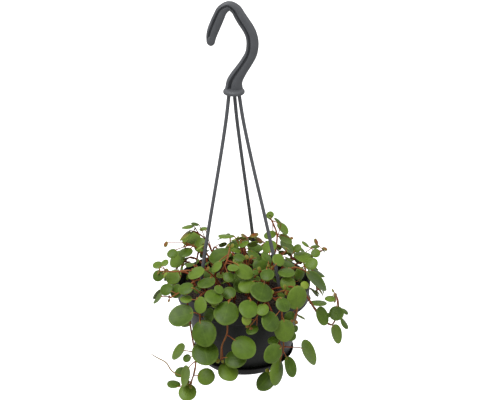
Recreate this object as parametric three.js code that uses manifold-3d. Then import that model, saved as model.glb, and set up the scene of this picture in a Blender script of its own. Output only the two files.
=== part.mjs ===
// A trailing peperomia in a hanging plastic nursery pot. The pot stands in a clip-on saucer and hangs
// from a one-piece moulded hanger: a hook of rounded section with a narrow groove along its front, a
// bell-shaped crown and three rods that end in feet, held in sockets inside the pot's rim. The plant
// is a mound of round, thick leaves on thin red stems that rise out of the soil, arch over the rim
// and hang down beside the pot.
// Units are millimetres, +Z is up and the front looks along -Y. The origin is the seat of the hook,
// the highest point of its inner arch, where a rail carries the whole thing.
import * as THREE from 'three';
import { mergeGeometries, mergeVertices } from 'three/addons/utils/BufferGeometryUtils.js';
import Module from 'manifold-3d';

const wasm = await Module();
wasm.setup();

// Driving dimensions. Heights are above the underside of the saucer, on the pot's own axis.
const GAP = 0.3;
const ROUND_SIDES = 32;
const RIM_RADIUS = 60;
const RIM_HEIGHT = 77;
const COLLAR_HEIGHT = 15;
const BEAD = 0.7;
const WALL = 1.4;
const WALL_TOP_RADIUS = 52.4;
const WALL_FOOT_RADIUS = 44.2;
const WALL_FOOT_HEIGHT = 11.5;
const POT_BASE_RADIUS = 37;
const POT_BASE_HEIGHT = 5;
const POT_FLOOR = 2;
const POT_BASE_EDGE = [3.6, 2.2];
const LIP_HEIGHT = 1.8;
const LEDGE_EDGE = 1;
const DRAIN_HOLES = 5;
const DRAIN_RADIUS = 3.5;
const DRAIN_RING_RADIUS = 24;
const SAUCER_RIM_RADIUS = 46;
const SAUCER_RIM_HEIGHT = 11;
const SAUCER_FOOT_RADIUS = 36.5;
const SAUCER_FLOOR = 1.6;
const SAUCER_FOOT_EDGE = [1.4, 0.8];
const SAUCER_LIP = [1.4, 2.6];
const SAUCER_LIP_WALL = 1.2;
const RIB_RADIUS = 32;
const RIB_HALF_WIDTH = 1;
const SOIL_EDGE_HEIGHT = 65;
const SOIL_CROWN_HEIGHT = 67.5;
const HOLE_DEPTH = 10;
const ROOT_RISE = 8;

const SEAT = [-12.5, 0, 331];
// The hook's section as it would be at a width of HOOK_WIDTH, and the way its groove looks: degrees
// from the front, negative to the left.
const HOOK_WIDTH = 10;
const HOOK_DEPTH = 7.4;
const HOOK_BACK = 1.3;
const HOOK_SIDES = 12;
const HOOK_STEPS = 25;
const GROOVE_WIDTH = 2.3;
const GROOVE_DEPTH = 3;
const GROOVE_TURN = -34;
const TIP_SHAPE = [1, 0.8, 1.2];
// The hook's centreline from its free tip over the arch to its neck: [across, up] from the seat, and
// how wide the hook is there.
const HOOK_LINE = [
  [-15.1, -26.5, 7.8],
  [-14.5, -22, 9.2],
  [-13, -17, 10.2],
  [-10.6, -11, 10.4],
  [-8, -5, 10.2],
  [-5.2, 0.6, 9.6],
  [0.6, 4.4, 8.7],
  [6.3, 1.4, 9.4],
  [9.6, -4, 10],
  [12.9, -9.5, 10.4],
  [16.8, -15.5, 10.4],
  [19.6, -22, 10.4],
  [20.6, -29.5, 10.7],
  [19.4, -38, 10.6],
  [15.8, -45.2, 10.7],
  [11.2, -52.4, 11.2],
  [7, -59.2, 12.6],
  [5, -64, 14],
  [4.6, -67.5, 14.8],
  [4.5, -71, 16.2],
];
const CROWN_OFFSET = [4.5, 0, -73.8];
const CROWN_RADIUS = 9.4;
const CROWN_HEIGHT = 4.5;
const CROWN_WALL = 2;
const CROWN_RECESS = 1.2;
const ROD_RADIUS = 1.6;
const ROD_TURNS = [-66, 53, 164];
const ROD_ROOT_TURNS = [-72, 72, 180];
const ROD_SPREAD = 4.2;
const ROD_BOW = [0.25, 0.82];
const ROD_ROOT = 3;
const FOOT_RADIUS = 44.6;
const FOOT_SIZE = [8, 2.4, 9];
const FOOT_BOTTOM = 50;
const SOCKET_WALL = 1.5;
const SOCKET_DEPTH = 6;

const STEM_RADIUS = 1.25;
const STEM_SIDES = 3;
const PETIOLE_RADIUS = 0.65;
const PETIOLE_END = 0.38;
const LEAST_RUN = 0.3;
const SMALL_LEAF = 14.5;
const LARGE_LEAF = 18;
const STEM_STEP = 15;
const PETIOLE_LENGTH = 6;
const LONGEST_PETIOLE = 24;
const PETIOLE_TRIES = 24;
const PETIOLE_SPACING = 2.6;
const SPIKE_RADIUS = 0.9;
const RIM_DOTS = 14;
const CLEAR = 0.35;
const ATTEMPTS = 40;
const LEAF_TRIES = 40;
// Where a stem arches over the rim, a leaf placed by rule is kept this much smaller.
const SHOULDER_RADIUS = 42;
const SHOULDER_SHARE = 0.55;
const SEED = 28;
// Turns of the trailing stems that hang behind and beside the measured ones, and how far they drop.
const TRAILING_TURNS = [92, 112, 128, 143, 156, 168, 180, 192, 204, 217, 232, 248, 268];
const TRAILING_DROPS = [12, 22, 38, 70, 42, 56, 82, 50, 36, 66, 30, 20, 12];
// Rings of mound stems: how many, root radius, rise, spread and first turn.
const MOUND_RINGS = [
  [4, 9, 44, 8, 20],
  [7, 24, 34, 16, 5],
  [5, 38, 20, 20, 170],
];
const BLADE_THICKNESS = 1.1;
const SMALL_BLADE_THICKNESS = 0.8;
const BLADE_DOME = 0.09;
const BLADE_BREADTH = 0.95;

// The front of the plant is laid out along sight lines from an eye in front of the pot. A sight line
// goes through a point [x, y] of a view that is 500 points wide and 400 high, in which the middle of the
// pot's rim has a known place. LENS is the eye's focal length in points of that view.
const LENS = 1650;
const DISTANCE = 1500;
const LOOK_DOWN = 23.2;
const VIEW_CENTRE = [250, 200];
const RIM_IN_VIEW = [243.5, 280.6];

const material = (color, roughness) => (
  new THREE.MeshStandardMaterial({ color, roughness, metalness: 0 })
);
const finishes = {
  pot: material(0x2f3033, 0.42),
  saucer: material(0x1b1b1d, 0.4),
  soil: material(0x2c211a, 0.95),
  hanger: material(0x55585d, 0.5),
  plant: material(0x5c7f31, 0.45),
};

// Small vector sums on plain [x, y, z] lists.
const add = (a, b) => [a[0] + b[0], a[1] + b[1], a[2] + b[2]];
const sub = (a, b) => [a[0] - b[0], a[1] - b[1], a[2] - b[2]];
const scale = (a, k) => [a[0] * k, a[1] * k, a[2] * k];
const dot = (a, b) => a[0] * b[0] + a[1] * b[1] + a[2] * b[2];
const cross = (a, b) => [
  a[1] * b[2] - a[2] * b[1],
  a[2] * b[0] - a[0] * b[2],
  a[0] * b[1] - a[1] * b[0],
];
const length = (a) => Math.sqrt(dot(a, a));
const unit = (a) => scale(a, 1 / length(a));
const mix = (a, b, t) => add(scale(a, 1 - t), scale(b, t));
const flatten = (v, normal) => sub(v, scale(normal, dot(v, normal)));
const radians = (degrees) => degrees * Math.PI / 180;

// A point on the pot: turn in degrees from the front, positive to the right, then radius and height.
const around = (turn, radius, height) => [
  radius * Math.sin(radians(turn)),
  -radius * Math.cos(radians(turn)),
  height,
];

// Seeded draws, the same on every run.
function draws(seed) {
  let state = seed >>> 0;
  return () => {
    state = (state + 0x6d2b79f5) >>> 0;
    let t = state;
    t = Math.imul(t ^ (t >>> 15), t | 1);
    t ^= t + Math.imul(t ^ (t >>> 7), t | 61);
    return ((t ^ (t >>> 14)) >>> 0) / 4294967296;
  };
}

// A closed body, for unions and cuts, and the skin of one.
function solid(geometry) {
  const bare = geometry.index ? geometry.toNonIndexed() : geometry.clone();
  bare.deleteAttribute('normal');
  bare.deleteAttribute('uv');
  const merged = mergeVertices(bare, 1e-4);
  return new wasm.Manifold(new wasm.Mesh({
    numProp: 3,
    vertProperties: new Float32Array(merged.attributes.position.array),
    triVerts: new Uint32Array(merged.index.array),
  }));
}

function surface(body) {
  const mesh = body.getMesh();
  const geometry = new THREE.BufferGeometry();
  geometry.setAttribute('position', new THREE.BufferAttribute(mesh.vertProperties, 3));
  geometry.setIndex(new THREE.BufferAttribute(mesh.triVerts, 1));
  return geometry;
}

const fuse = (bodies) => bodies.reduce((whole, body) => whole.add(body));
const cut = (body, tools) => tools.reduce((whole, tool) => whole.subtract(tool), body);

// A solid of revolution about Z from a closed list of [radius, height] corners.
function turned(profile, sides = ROUND_SIDES) {
  const points = profile.map(([r, z]) => new THREE.Vector2(r, z));
  const onAxis = profile[0][0] === 0 && profile[profile.length - 1][0] === 0;
  if (!onAxis) {
    points.push(points[0].clone());
  }
  return new THREE.LatheGeometry(points, sides).rotateX(Math.PI / 2);
}

// An upright prism or cylinder from one height to another.
function post(centre, radius, bottom, top, sides) {
  return new THREE.CylinderGeometry(radius, radius, top - bottom, sides)
    .rotateX(Math.PI / 2)
    .translate(centre[0], centre[1], (top + bottom) / 2);
}

// A smooth row of points through the given ones, `steps` to each stretch.
function smooth(points, steps) {
  const row = [];
  for (let i = 0; i < points.length - 1; i += 1) {
    const a = points[Math.max(i - 1, 0)];
    const b = points[i];
    const c = points[i + 1];
    const d = points[Math.min(i + 2, points.length - 1)];
    for (let k = 0; k < steps; k += 1) {
      const t = k / steps;
      row.push([0, 1, 2].map((n) => 0.5 * (
        2 * b[n] + (c[n] - a[n]) * t
        + (2 * a[n] - 5 * b[n] + 4 * c[n] - d[n]) * t * t
        + (3 * b[n] - a[n] - 3 * c[n] + d[n]) * t * t * t
      )));
    }
  }
  row.push(points[points.length - 1]);
  return row;
}

// The same row with its points set evenly apart.
function spaced(points, count) {
  const marks = [0];
  for (let i = 1; i < points.length; i += 1) {
    marks.push(marks[i - 1] + length(sub(points[i], points[i - 1])));
  }
  const row = [];
  let k = 0;
  for (let i = 0; i <= count; i += 1) {
    const mark = marks[marks.length - 1] * i / count;
    while (k < points.length - 2 && marks[k + 1] < mark) {
      k += 1;
    }
    row.push(mix(points[k], points[k + 1], (mark - marks[k]) / (marks[k + 1] - marks[k])));
  }
  return row;
}

// A path of straight stretches, for a rod to follow.
class Route extends THREE.Curve {
  constructor(points) {
    super();
    this.points = points;
  }

  getPoint(t) {
    const last = this.points.length - 1;
    const k = Math.min(Math.floor(t * last), last - 1);
    return new THREE.Vector3(...mix(this.points[k], this.points[k + 1], t * last - k));
  }

  getUtoTmapping(u) {
    return u;
  }
}

// A rod with a section of few sides that follows an evenly spaced row of points.
function rod(points, radius, sides) {
  const corners = Array.from({ length: sides }, (_, i) => new THREE.Vector2(
    radius * Math.cos(2 * Math.PI * i / sides),
    radius * Math.sin(2 * Math.PI * i / sides),
  ));
  return new THREE.ExtrudeGeometry(new THREE.Shape(corners), {
    steps: points.length - 1,
    extrudePath: new Route(points),
  });
}

// A straight bar between two points.
function bar(start, end, radius, sides) {
  const run = sub(end, start);
  const turn = new THREE.Quaternion().setFromUnitVectors(
    new THREE.Vector3(0, 1, 0),
    new THREE.Vector3(...unit(run)),
  );
  return new THREE.CylinderGeometry(radius, radius, length(run), sides)
    .applyQuaternion(turn)
    .translate(...mix(start, end, 0.5));
}

// The point at [x, y] of the view, at a distance `out` from the pot's axis: on the near side of the
// axis, or on the far side where `out` is negative.
const forward = [0, Math.cos(radians(LOOK_DOWN)), -Math.sin(radians(LOOK_DOWN))];
const upward = [0, Math.sin(radians(LOOK_DOWN)), Math.cos(radians(LOOK_DOWN))];
const rightward = [1, 0, 0];
const sightline = (x, y) => unit(add(
  forward,
  add(
    scale(rightward, (x - VIEW_CENTRE[0]) / LENS),
    scale(upward, (VIEW_CENTRE[1] - y) / LENS),
  ),
));
const eye = sub(
  [0, 0, RIM_HEIGHT],
  scale(
    add(
      forward,
      add(
        scale(rightward, (RIM_IN_VIEW[0] - VIEW_CENTRE[0]) / LENS),
        scale(upward, (VIEW_CENTRE[1] - RIM_IN_VIEW[1]) / LENS),
      ),
    ),
    DISTANCE,
  ),
);

function seen(x, y, out) {
  const ray = sightline(x, y);
  const a = ray[0] * ray[0] + ray[1] * ray[1];
  const b = 2 * (eye[0] * ray[0] + eye[1] * ray[1]);
  const c = eye[0] * eye[0] + eye[1] * eye[1] - out * out;
  const root = b * b - 4 * a * c;
  const reach = root < 0 ? -b / (2 * a) : (-b - Math.sign(out) * Math.sqrt(root)) / (2 * a);
  return add(eye, scale(ray, reach));
}

// The pot: a turned wall with a collar, a ledge under it and a rolled bead, drained through the floor.
function makePot() {
  const ledge = RIM_HEIGHT - COLLAR_HEIGHT;
  const shell = solid(turned([
    [0, POT_BASE_HEIGHT],
    [POT_BASE_RADIUS, POT_BASE_HEIGHT],
    [POT_BASE_RADIUS + POT_BASE_EDGE[0], POT_BASE_HEIGHT + POT_BASE_EDGE[1]],
    [WALL_FOOT_RADIUS - 0.3, WALL_FOOT_HEIGHT - 1],
    [WALL_TOP_RADIUS, ledge],
    [RIM_RADIUS - LEDGE_EDGE, ledge],
    [RIM_RADIUS, ledge + LEDGE_EDGE],
    [RIM_RADIUS, RIM_HEIGHT - LIP_HEIGHT],
    [RIM_RADIUS + BEAD, RIM_HEIGHT],
    [RIM_RADIUS - WALL, RIM_HEIGHT],
    [RIM_RADIUS - WALL, ledge + WALL],
    [WALL_TOP_RADIUS - WALL, ledge + WALL],
    [WALL_FOOT_RADIUS - WALL, WALL_FOOT_HEIGHT],
    [POT_BASE_RADIUS, POT_BASE_HEIGHT + POT_FLOOR],
    [0, POT_BASE_HEIGHT + POT_FLOOR],
  ]));
  const drains = [];
  for (let i = 0; i < DRAIN_HOLES; i += 1) {
    const centre = around(360 * i / DRAIN_HOLES, DRAIN_RING_RADIUS, 0);
    drains.push(solid(post(centre, DRAIN_RADIUS, 0, POT_BASE_HEIGHT + 2 * POT_FLOOR, 8)));
  }
  const sockets = ROD_TURNS.map((turn) => socket(turn));
  return surface(cut(fuse([cut(shell, drains), ...sockets]), ROD_TURNS.map((turn) => slot(turn))));
}

// A block on the pot's axis side of the wall, from one radius to another, at a given turn.
function block(turn, inner, outer, width, bottom, top) {
  return solid(
    new THREE.BoxGeometry(width, outer - inner, top - bottom)
      .translate(0, -(inner + outer) / 2, (top + bottom) / 2)
      .rotateZ(radians(turn)),
  );
}

const wallRadiusAt = (height) => WALL_FOOT_RADIUS + (WALL_TOP_RADIUS - WALL_FOOT_RADIUS)
  * (height - WALL_FOOT_HEIGHT) / (RIM_HEIGHT - COLLAR_HEIGHT - WALL_FOOT_HEIGHT);

// A pocket on the inside of the wall that holds one foot of the hanger.
const socketInner = FOOT_RADIUS - FOOT_SIZE[1] / 2 - GAP - SOCKET_WALL;
function socket(turn) {
  const bottom = FOOT_BOTTOM - GAP - SOCKET_WALL;
  return block(
    turn,
    socketInner,
    wallRadiusAt(bottom) - WALL / 2,
    FOOT_SIZE[0] + 2 * (GAP + SOCKET_WALL),
    bottom,
    FOOT_BOTTOM + SOCKET_DEPTH,
  );
}

function slot(turn) {
  return block(
    turn,
    FOOT_RADIUS - FOOT_SIZE[1] / 2 - GAP,
    FOOT_RADIUS + FOOT_SIZE[1] / 2 + GAP,
    FOOT_SIZE[0] + 2 * GAP,
    FOOT_BOTTOM - GAP,
    FOOT_BOTTOM + 2 * SOCKET_DEPTH,
  );
}

// The saucer: a shallow dish with a rolled rim and a ring on its floor that carries the pot.
function makeSaucer() {
  return turned([
    [0, 0],
    [SAUCER_FOOT_RADIUS, 0],
    [SAUCER_FOOT_RADIUS + SAUCER_FOOT_EDGE[0], SAUCER_FOOT_EDGE[1]],
    [SAUCER_RIM_RADIUS - SAUCER_LIP[0], SAUCER_RIM_HEIGHT - SAUCER_LIP[1]],
    [SAUCER_RIM_RADIUS, SAUCER_RIM_HEIGHT - SAUCER_LIP_WALL],
    [SAUCER_RIM_RADIUS, SAUCER_RIM_HEIGHT],
    [SAUCER_RIM_RADIUS - SAUCER_LIP_WALL, SAUCER_RIM_HEIGHT],
    [SAUCER_RIM_RADIUS - SAUCER_LIP[0] - SAUCER_LIP_WALL, SAUCER_RIM_HEIGHT - SAUCER_LIP[1] + 0.8],
    [SAUCER_FOOT_RADIUS - 0.4, SAUCER_FLOOR],
    [RIB_RADIUS + RIB_HALF_WIDTH, SAUCER_FLOOR],
    [RIB_RADIUS + RIB_HALF_WIDTH, POT_BASE_HEIGHT - GAP],
    [RIB_RADIUS - RIB_HALF_WIDTH, POT_BASE_HEIGHT - GAP],
    [RIB_RADIUS - RIB_HALF_WIDTH, SAUCER_FLOOR],
    [0, SAUCER_FLOOR],
  ]);
}

// The soil fills the pot up over its ledge, with a plain hole for every stem and rod.
function makeSoil(holes) {
  const ledge = RIM_HEIGHT - COLLAR_HEIGHT + WALL + GAP;
  const inner = WALL + GAP;
  const floor = POT_BASE_HEIGHT + POT_FLOOR + GAP;
  const heap = solid(turned([
    [0, floor],
    [POT_BASE_RADIUS - 1, floor],
    [WALL_FOOT_RADIUS - inner - 0.3, WALL_FOOT_HEIGHT + 0.6],
    [WALL_TOP_RADIUS - inner - 0.2, ledge],
    [RIM_RADIUS - inner, ledge],
    [RIM_RADIUS - inner, SOIL_EDGE_HEIGHT],
    [RIM_RADIUS * 0.55, SOIL_CROWN_HEIGHT - 0.5],
    [0, SOIL_CROWN_HEIGHT],
  ], 24));
  const bottom = FOOT_BOTTOM - GAP - SOCKET_WALL;
  const pockets = ROD_TURNS.map((turn) => block(
    turn,
    socketInner - GAP,
    WALL_TOP_RADIUS,
    FOOT_SIZE[0] + 2 * (2 * GAP + SOCKET_WALL),
    bottom - GAP,
    FOOT_BOTTOM + FOOT_SIZE[2] + GAP,
  ));
  const rodBores = rodRoutes.map((route) => (
    solid(bar(route[route.length - 1], route[route.length - 2], ROD_RADIUS + GAP + 0.2, 8))
  ));
  const bores = holes.map(({ centre, radius, bottom: end }) => (
    solid(post(centre, radius, end, SOIL_CROWN_HEIGHT + 5, 3))
  ));
  return surface(cut(heap, [...pockets, ...rodBores, ...bores]));
}

// One rod of the hanger, from the crown down to its foot: it leaves steeply, spreads, and ends upright.
const crownCentre = add(SEAT, CROWN_OFFSET);
const footTop = FOOT_BOTTOM + FOOT_SIZE[2];
function rodRoute(turn) {
  const top = add(crownCentre, around(ROD_ROOT_TURNS[ROD_TURNS.indexOf(turn)], ROD_SPREAD, 0));
  const end = around(turn, FOOT_RADIUS, footTop - 2);
  const steps = 8;
  const route = [];
  for (let i = 0; i <= steps; i += 1) {
    const t = i / steps;
    const spread = 3 * ROD_BOW[0] * t * (1 - t) * (1 - t) + 3 * ROD_BOW[1] * t * t * (1 - t) + t * t * t;
    const level = mix(top, end, spread);
    route.push([level[0], level[1], top[2] + (end[2] - top[2]) * t]);
  }
  return route;
}

// The hook: a rounded bar with a groove along it and a solid round tip. Its section is drawn once, as
// a disc with a notch. Each ring of it is turned so that the notch looks to the front and left, and is
// set square to the centreline, as wide as the hook is there.
function makeHook() {
  const lip = Math.asin(GROOVE_WIDTH / HOOK_WIDTH);
  const floor = 1 - 2 * GROOVE_DEPTH / HOOK_WIDTH;
  const corners = [];
  for (let i = 0; i <= HOOK_SIDES; i += 1) {
    const angle = lip + (2 * Math.PI - 2 * lip) * i / HOOK_SIDES;
    corners.push(new THREE.Vector2(Math.cos(angle), Math.sin(angle)));
  }
  corners.push(new THREE.Vector2(floor, -Math.sin(lip)));
  corners.push(new THREE.Vector2(floor, Math.sin(lip)));
  const bar = new THREE.ExtrudeGeometry(new THREE.Shape(corners), {
    depth: 1,
    steps: HOOK_STEPS,
    bevelEnabled: false,
  });
  const line = spaced(smooth(HOOK_LINE, 4), HOOK_STEPS);
  const { position } = bar.attributes;
  for (let i = 0; i < position.count; i += 1) {
    const ring = Math.round(position.getZ(i) * HOOK_STEPS);
    const [across, up, width] = line[ring];
    const before = line[Math.max(ring - 1, 0)];
    const after = line[Math.min(ring + 1, HOOK_STEPS)];
    const way = unit([after[0] - before[0], 0, after[1] - before[1]]);
    const turn = Math.asin(Math.sin(radians(GROOVE_TURN)) * way[2]);
    const x = position.getX(i);
    const y = position.getY(i);
    const out = (x * Math.sin(turn) + y * Math.cos(turn)) * width / 2;
    const front = (x * Math.cos(turn) - y * Math.sin(turn)) * HOOK_DEPTH / 2;
    position.setXYZ(
      i,
      SEAT[0] + across + way[2] * out,
      SEAT[1] + (HOOK_BACK - front) * width / HOOK_WIDTH,
      SEAT[2] + up - way[0] * out,
    );
  }
  const [tipAcross, tipUp, tipWidth] = HOOK_LINE[0];
  const tip = new THREE.SphereGeometry(tipWidth / 2, 8, 4)
    .scale(...TIP_SHAPE)
    .translate(
      SEAT[0] + tipAcross,
      SEAT[1] + HOOK_BACK * tipWidth / HOOK_WIDTH,
      SEAT[2] + tipUp,
    );
  return solid(bar).add(solid(tip));
}

// The hanger is one moulding: the hook, a round crown under it, three rods and their feet.
function makeHanger() {
  const crown = solid(turned([
    [0, CROWN_RECESS],
    [CROWN_RADIUS - CROWN_WALL, 0],
    [CROWN_RADIUS - 0.9, 0],
    [CROWN_RADIUS, 1.2],
    [CROWN_RADIUS, 2.2],
    [CROWN_RADIUS - 1.2, CROWN_HEIGHT - 0.7],
    [0, CROWN_HEIGHT],
  ], 16).translate(...crownCentre));
  const rods = ROD_TURNS.map((turn) => {
    const route = rodRoute(turn);
    const whole = spaced([add(route[0], [0, 0, ROD_ROOT]), ...route], route.length);
    return solid(rod(whole, ROD_RADIUS, 6));
  });
  const feet = ROD_TURNS.map((turn) => block(
    turn,
    FOOT_RADIUS - FOOT_SIZE[1] / 2,
    FOOT_RADIUS + FOOT_SIZE[1] / 2,
    FOOT_SIZE[0],
    FOOT_BOTTOM,
    footTop,
  ));
  return surface(fuse([makeHook(), crown, ...rods, ...feet]));
}

// Clearances. Leaves are kept as thin discs and stems as rods, so that nothing new is set where it
// would cross what is already there.
const taken = { discs: [], rods: [] };
const stems = [];

function discOf(leaf, owner) {
  const side = cross(leaf.normal, leaf.along);
  const radius = leaf.long / 2;
  const centre = add(leaf.centre, scale(leaf.normal, -leaf.dome / 2));
  const dots = [centre];
  for (let i = 0; i < RIM_DOTS; i += 1) {
    const angle = 2 * Math.PI * i / RIM_DOTS;
    const spoke = add(scale(leaf.along, radius * Math.cos(angle)), scale(side, radius * Math.sin(angle)));
    dots.push(add(centre, spoke), add(centre, scale(spoke, 0.5)));
  }
  const half = (Math.abs(leaf.dome) + leaf.thickness) / 2;
  return { centre, normal: leaf.normal, radius, half, dots, owner };
}

function rodOf(a, b, radius, owner) {
  return { a, b, radius, owner, middle: mix(a, b, 0.5), reach: length(sub(b, a)) / 2 };
}

function discDistance(point, disc) {
  const offset = sub(point, disc.centre);
  const height = dot(offset, disc.normal);
  const spill = Math.max(length(sub(offset, scale(disc.normal, height))) - disc.radius, 0);
  return Math.sqrt(height * height + spill * spill);
}

function rodDistance(point, { a, b }) {
  const run = sub(b, a);
  const t = Math.min(Math.max(dot(sub(point, a), run) / dot(run, run), 0), 1);
  return length(sub(point, mix(a, b, t)));
}

// Whether the line where two discs' planes meet runs through both discs at one place.
function discsCross(one, other) {
  const line = cross(one.normal, other.normal);
  const size = length(line);
  if (size < 1e-4) {
    return false;
  }
  const way = scale(line, 1 / size);
  const to = dot(sub(other.centre, one.centre), other.normal);
  const inPlane = unit(flatten(other.normal, one.normal));
  const reach = to / dot(inPlane, other.normal);
  const foot = add(one.centre, scale(inPlane, reach));
  const spans = [one, other].map((disc) => {
    const middle = dot(sub(disc.centre, foot), way);
    const off = length(sub(sub(disc.centre, foot), scale(way, middle)));
    const rim = disc.radius + CLEAR;
    const spread = off < rim ? Math.sqrt(rim * rim - off * off) : 0;
    return { from: middle - spread, to: middle + spread, meets: off < rim };
  });
  return spans[0].meets && spans[1].meets && spans[0].from < spans[1].to && spans[1].from < spans[0].to;
}

function discsMeet(one, other) {
  const gap = one.half + other.half + CLEAR;
  if (length(sub(one.centre, other.centre)) > one.radius + other.radius + gap) {
    return false;
  }
  return discsCross(one, other)
    || one.dots.some((point) => discDistance(point, other) < gap)
    || other.dots.some((point) => discDistance(point, one) < gap);
}

function discMeetsRod(disc, piece) {
  const gap = disc.half + piece.radius + CLEAR;
  if (length(sub(disc.centre, piece.middle)) > disc.radius + piece.reach + gap) {
    return false;
  }
  const steps = Math.ceil(piece.reach) + 1;
  for (let i = 0; i <= steps; i += 1) {
    if (discDistance(mix(piece.a, piece.b, i / steps), disc) < gap) {
      return true;
    }
  }
  return false;
}

function rodsMeet(one, other) {
  const gap = one.radius + other.radius + CLEAR;
  if (length(sub(one.middle, other.middle)) > one.reach + other.reach + gap) {
    return false;
  }
  const steps = Math.ceil(one.reach * 2) + 1;
  for (let i = 0; i <= steps; i += 1) {
    if (rodDistance(mix(one.a, one.b, i / steps), other) < gap) {
      return true;
    }
  }
  return false;
}

// Whether a point is clear of the pot, the saucer and the soil by a margin.
function offPot([x, y, z], margin) {
  const radius = Math.sqrt(x * x + y * y);
  const ledge = RIM_HEIGHT - COLLAR_HEIGHT;
  if (z > RIM_HEIGHT + margin || z < -margin) {
    return true;
  }
  if (z > SOIL_CROWN_HEIGHT + margin && radius < RIM_RADIUS - WALL - margin) {
    return true;
  }
  let outer = Math.max(wallRadiusAt(z), WALL_FOOT_RADIUS);
  if (z > ledge - margin) {
    outer = RIM_RADIUS + BEAD;
  } else if (z < SAUCER_RIM_HEIGHT + margin) {
    outer = SAUCER_RIM_RADIUS;
  }
  return radius > outer + margin;
}

const leafFits = (disc, owner) => disc.dots.every((point) => offPot(point, disc.half + CLEAR))
  && !taken.discs.some((other) => discsMeet(disc, other))
  && !taken.rods.some((other) => other.owner !== owner && discMeetsRod(disc, other));

const rodFits = (piece, owner) => !taken.discs.some((other) => (
  other.owner !== owner && discMeetsRod(other, piece)
)) && !taken.rods.some((other) => other.owner !== owner && rodsMeet(piece, other));

// A leaf: its middle, the way its upper face looks, the way from its base to its tip and its length.
function makeLeaf(centre, normal, along, long, face) {
  const thickness = long < 10 ? SMALL_BLADE_THICKNESS : BLADE_THICKNESS;
  return { centre, normal, along, long, thickness, dome: long * BLADE_DOME * face };
}

// A stem as planned: its rows of points before any leaf is set on it.
function layStem(name, points, radius) {
  const fine = smooth(points.slice(1), 8);
  let run = 0;
  for (let i = 1; i < fine.length; i += 1) {
    run += length(sub(fine[i], fine[i - 1]));
  }
  const row = [points[0], ...spaced(fine, Math.max(3, Math.round(run / STEM_STEP)))];
  const rods = row.slice(1).map((point, i) => rodOf(row[i], point, radius, name));
  return { name, row, radius, rods, leaves: [], petioles: [], spikes: [] };
}

const stemFits = (stem) => stem.rods.every((piece) => rodFits(piece, stem.name))
  && stem.row.every((point) => (
    Math.hypot(point[0], point[1]) < RIM_RADIUS - 8 || offPot(point, stem.radius + CLEAR)
  ));

function keepStem(stem) {
  stems.push(stem);
  taken.rods.push(...stem.rods);
}

// The lowest part of every stem stands upright in the soil.
function rootPoints(turn, radius) {
  const top = SOIL_CROWN_HEIGHT;
  return [top - HOLE_DEPTH + 1, top + 3, top + ROOT_RISE].map((height) => around(turn, radius, height));
}

// Puts a leaf and its petiole on a stem, if there is room for both.
function placeLeaf(stem, start, base, leaf, besideStem, alone) {
  const disc = discOf(leaf, stem.name);
  const petiole = rodOf(start, base, PETIOLE_RADIUS, stem.name);
  const way = unit(sub(base, start));
  const apart = alone ? PETIOLE_SPACING : PETIOLE_SPACING / 3;
  const free = dot(way, leaf.along) > LEAST_RUN
    && stem.petioles.every((other) => (
      length(sub(other.a, start)) > apart && !(alone && rodsMeet(petiole, other))
    ))
    && leafFits(disc, stem.name)
    && rodFits(petiole, stem.name)
    && !taken.discs.some((other) => other.owner === stem.name && discMeetsRod(other, petiole))
    && !(besideStem && stem.rods.some((piece) => discMeetsRod(disc, piece)));
  if (free) {
    stem.leaves.push({ ...leaf, start });
    stem.petioles.push(petiole);
    taken.discs.push(disc);
    taken.rods.push(petiole);
  }
  return free;
}

// Hangs a leaf from the point of its stem that leaves it the likeliest petiole.
function setLeaf(stem, centre, normal, long, face, alone) {
  const options = [];
  for (const piece of stem.rods) {
    for (const t of [0.1, 0.3, 0.5, 0.7, 0.9]) {
      const start = mix(piece.a, piece.b, t);
      const along = unit(flatten(sub(centre, start), normal));
      const base = sub(centre, scale(along, long / 2));
      const reach = length(sub(base, start));
      const bare = start[2] > SOIL_CROWN_HEIGHT + 1 || Math.hypot(start[0], start[1]) > RIM_RADIUS;
      if (bare && reach < LONGEST_PETIOLE) {
        options.push({ start, along, base, cost: Math.abs(reach - PETIOLE_LENGTH) });
      }
    }
  }
  options.sort((a, b) => a.cost - b.cost);
  return options.slice(0, PETIOLE_TRIES).some(({ start, along, base }) => (
    placeLeaf(stem, start, base, makeLeaf(centre, normal, along, long, face), false, alone)
  ));
}

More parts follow.
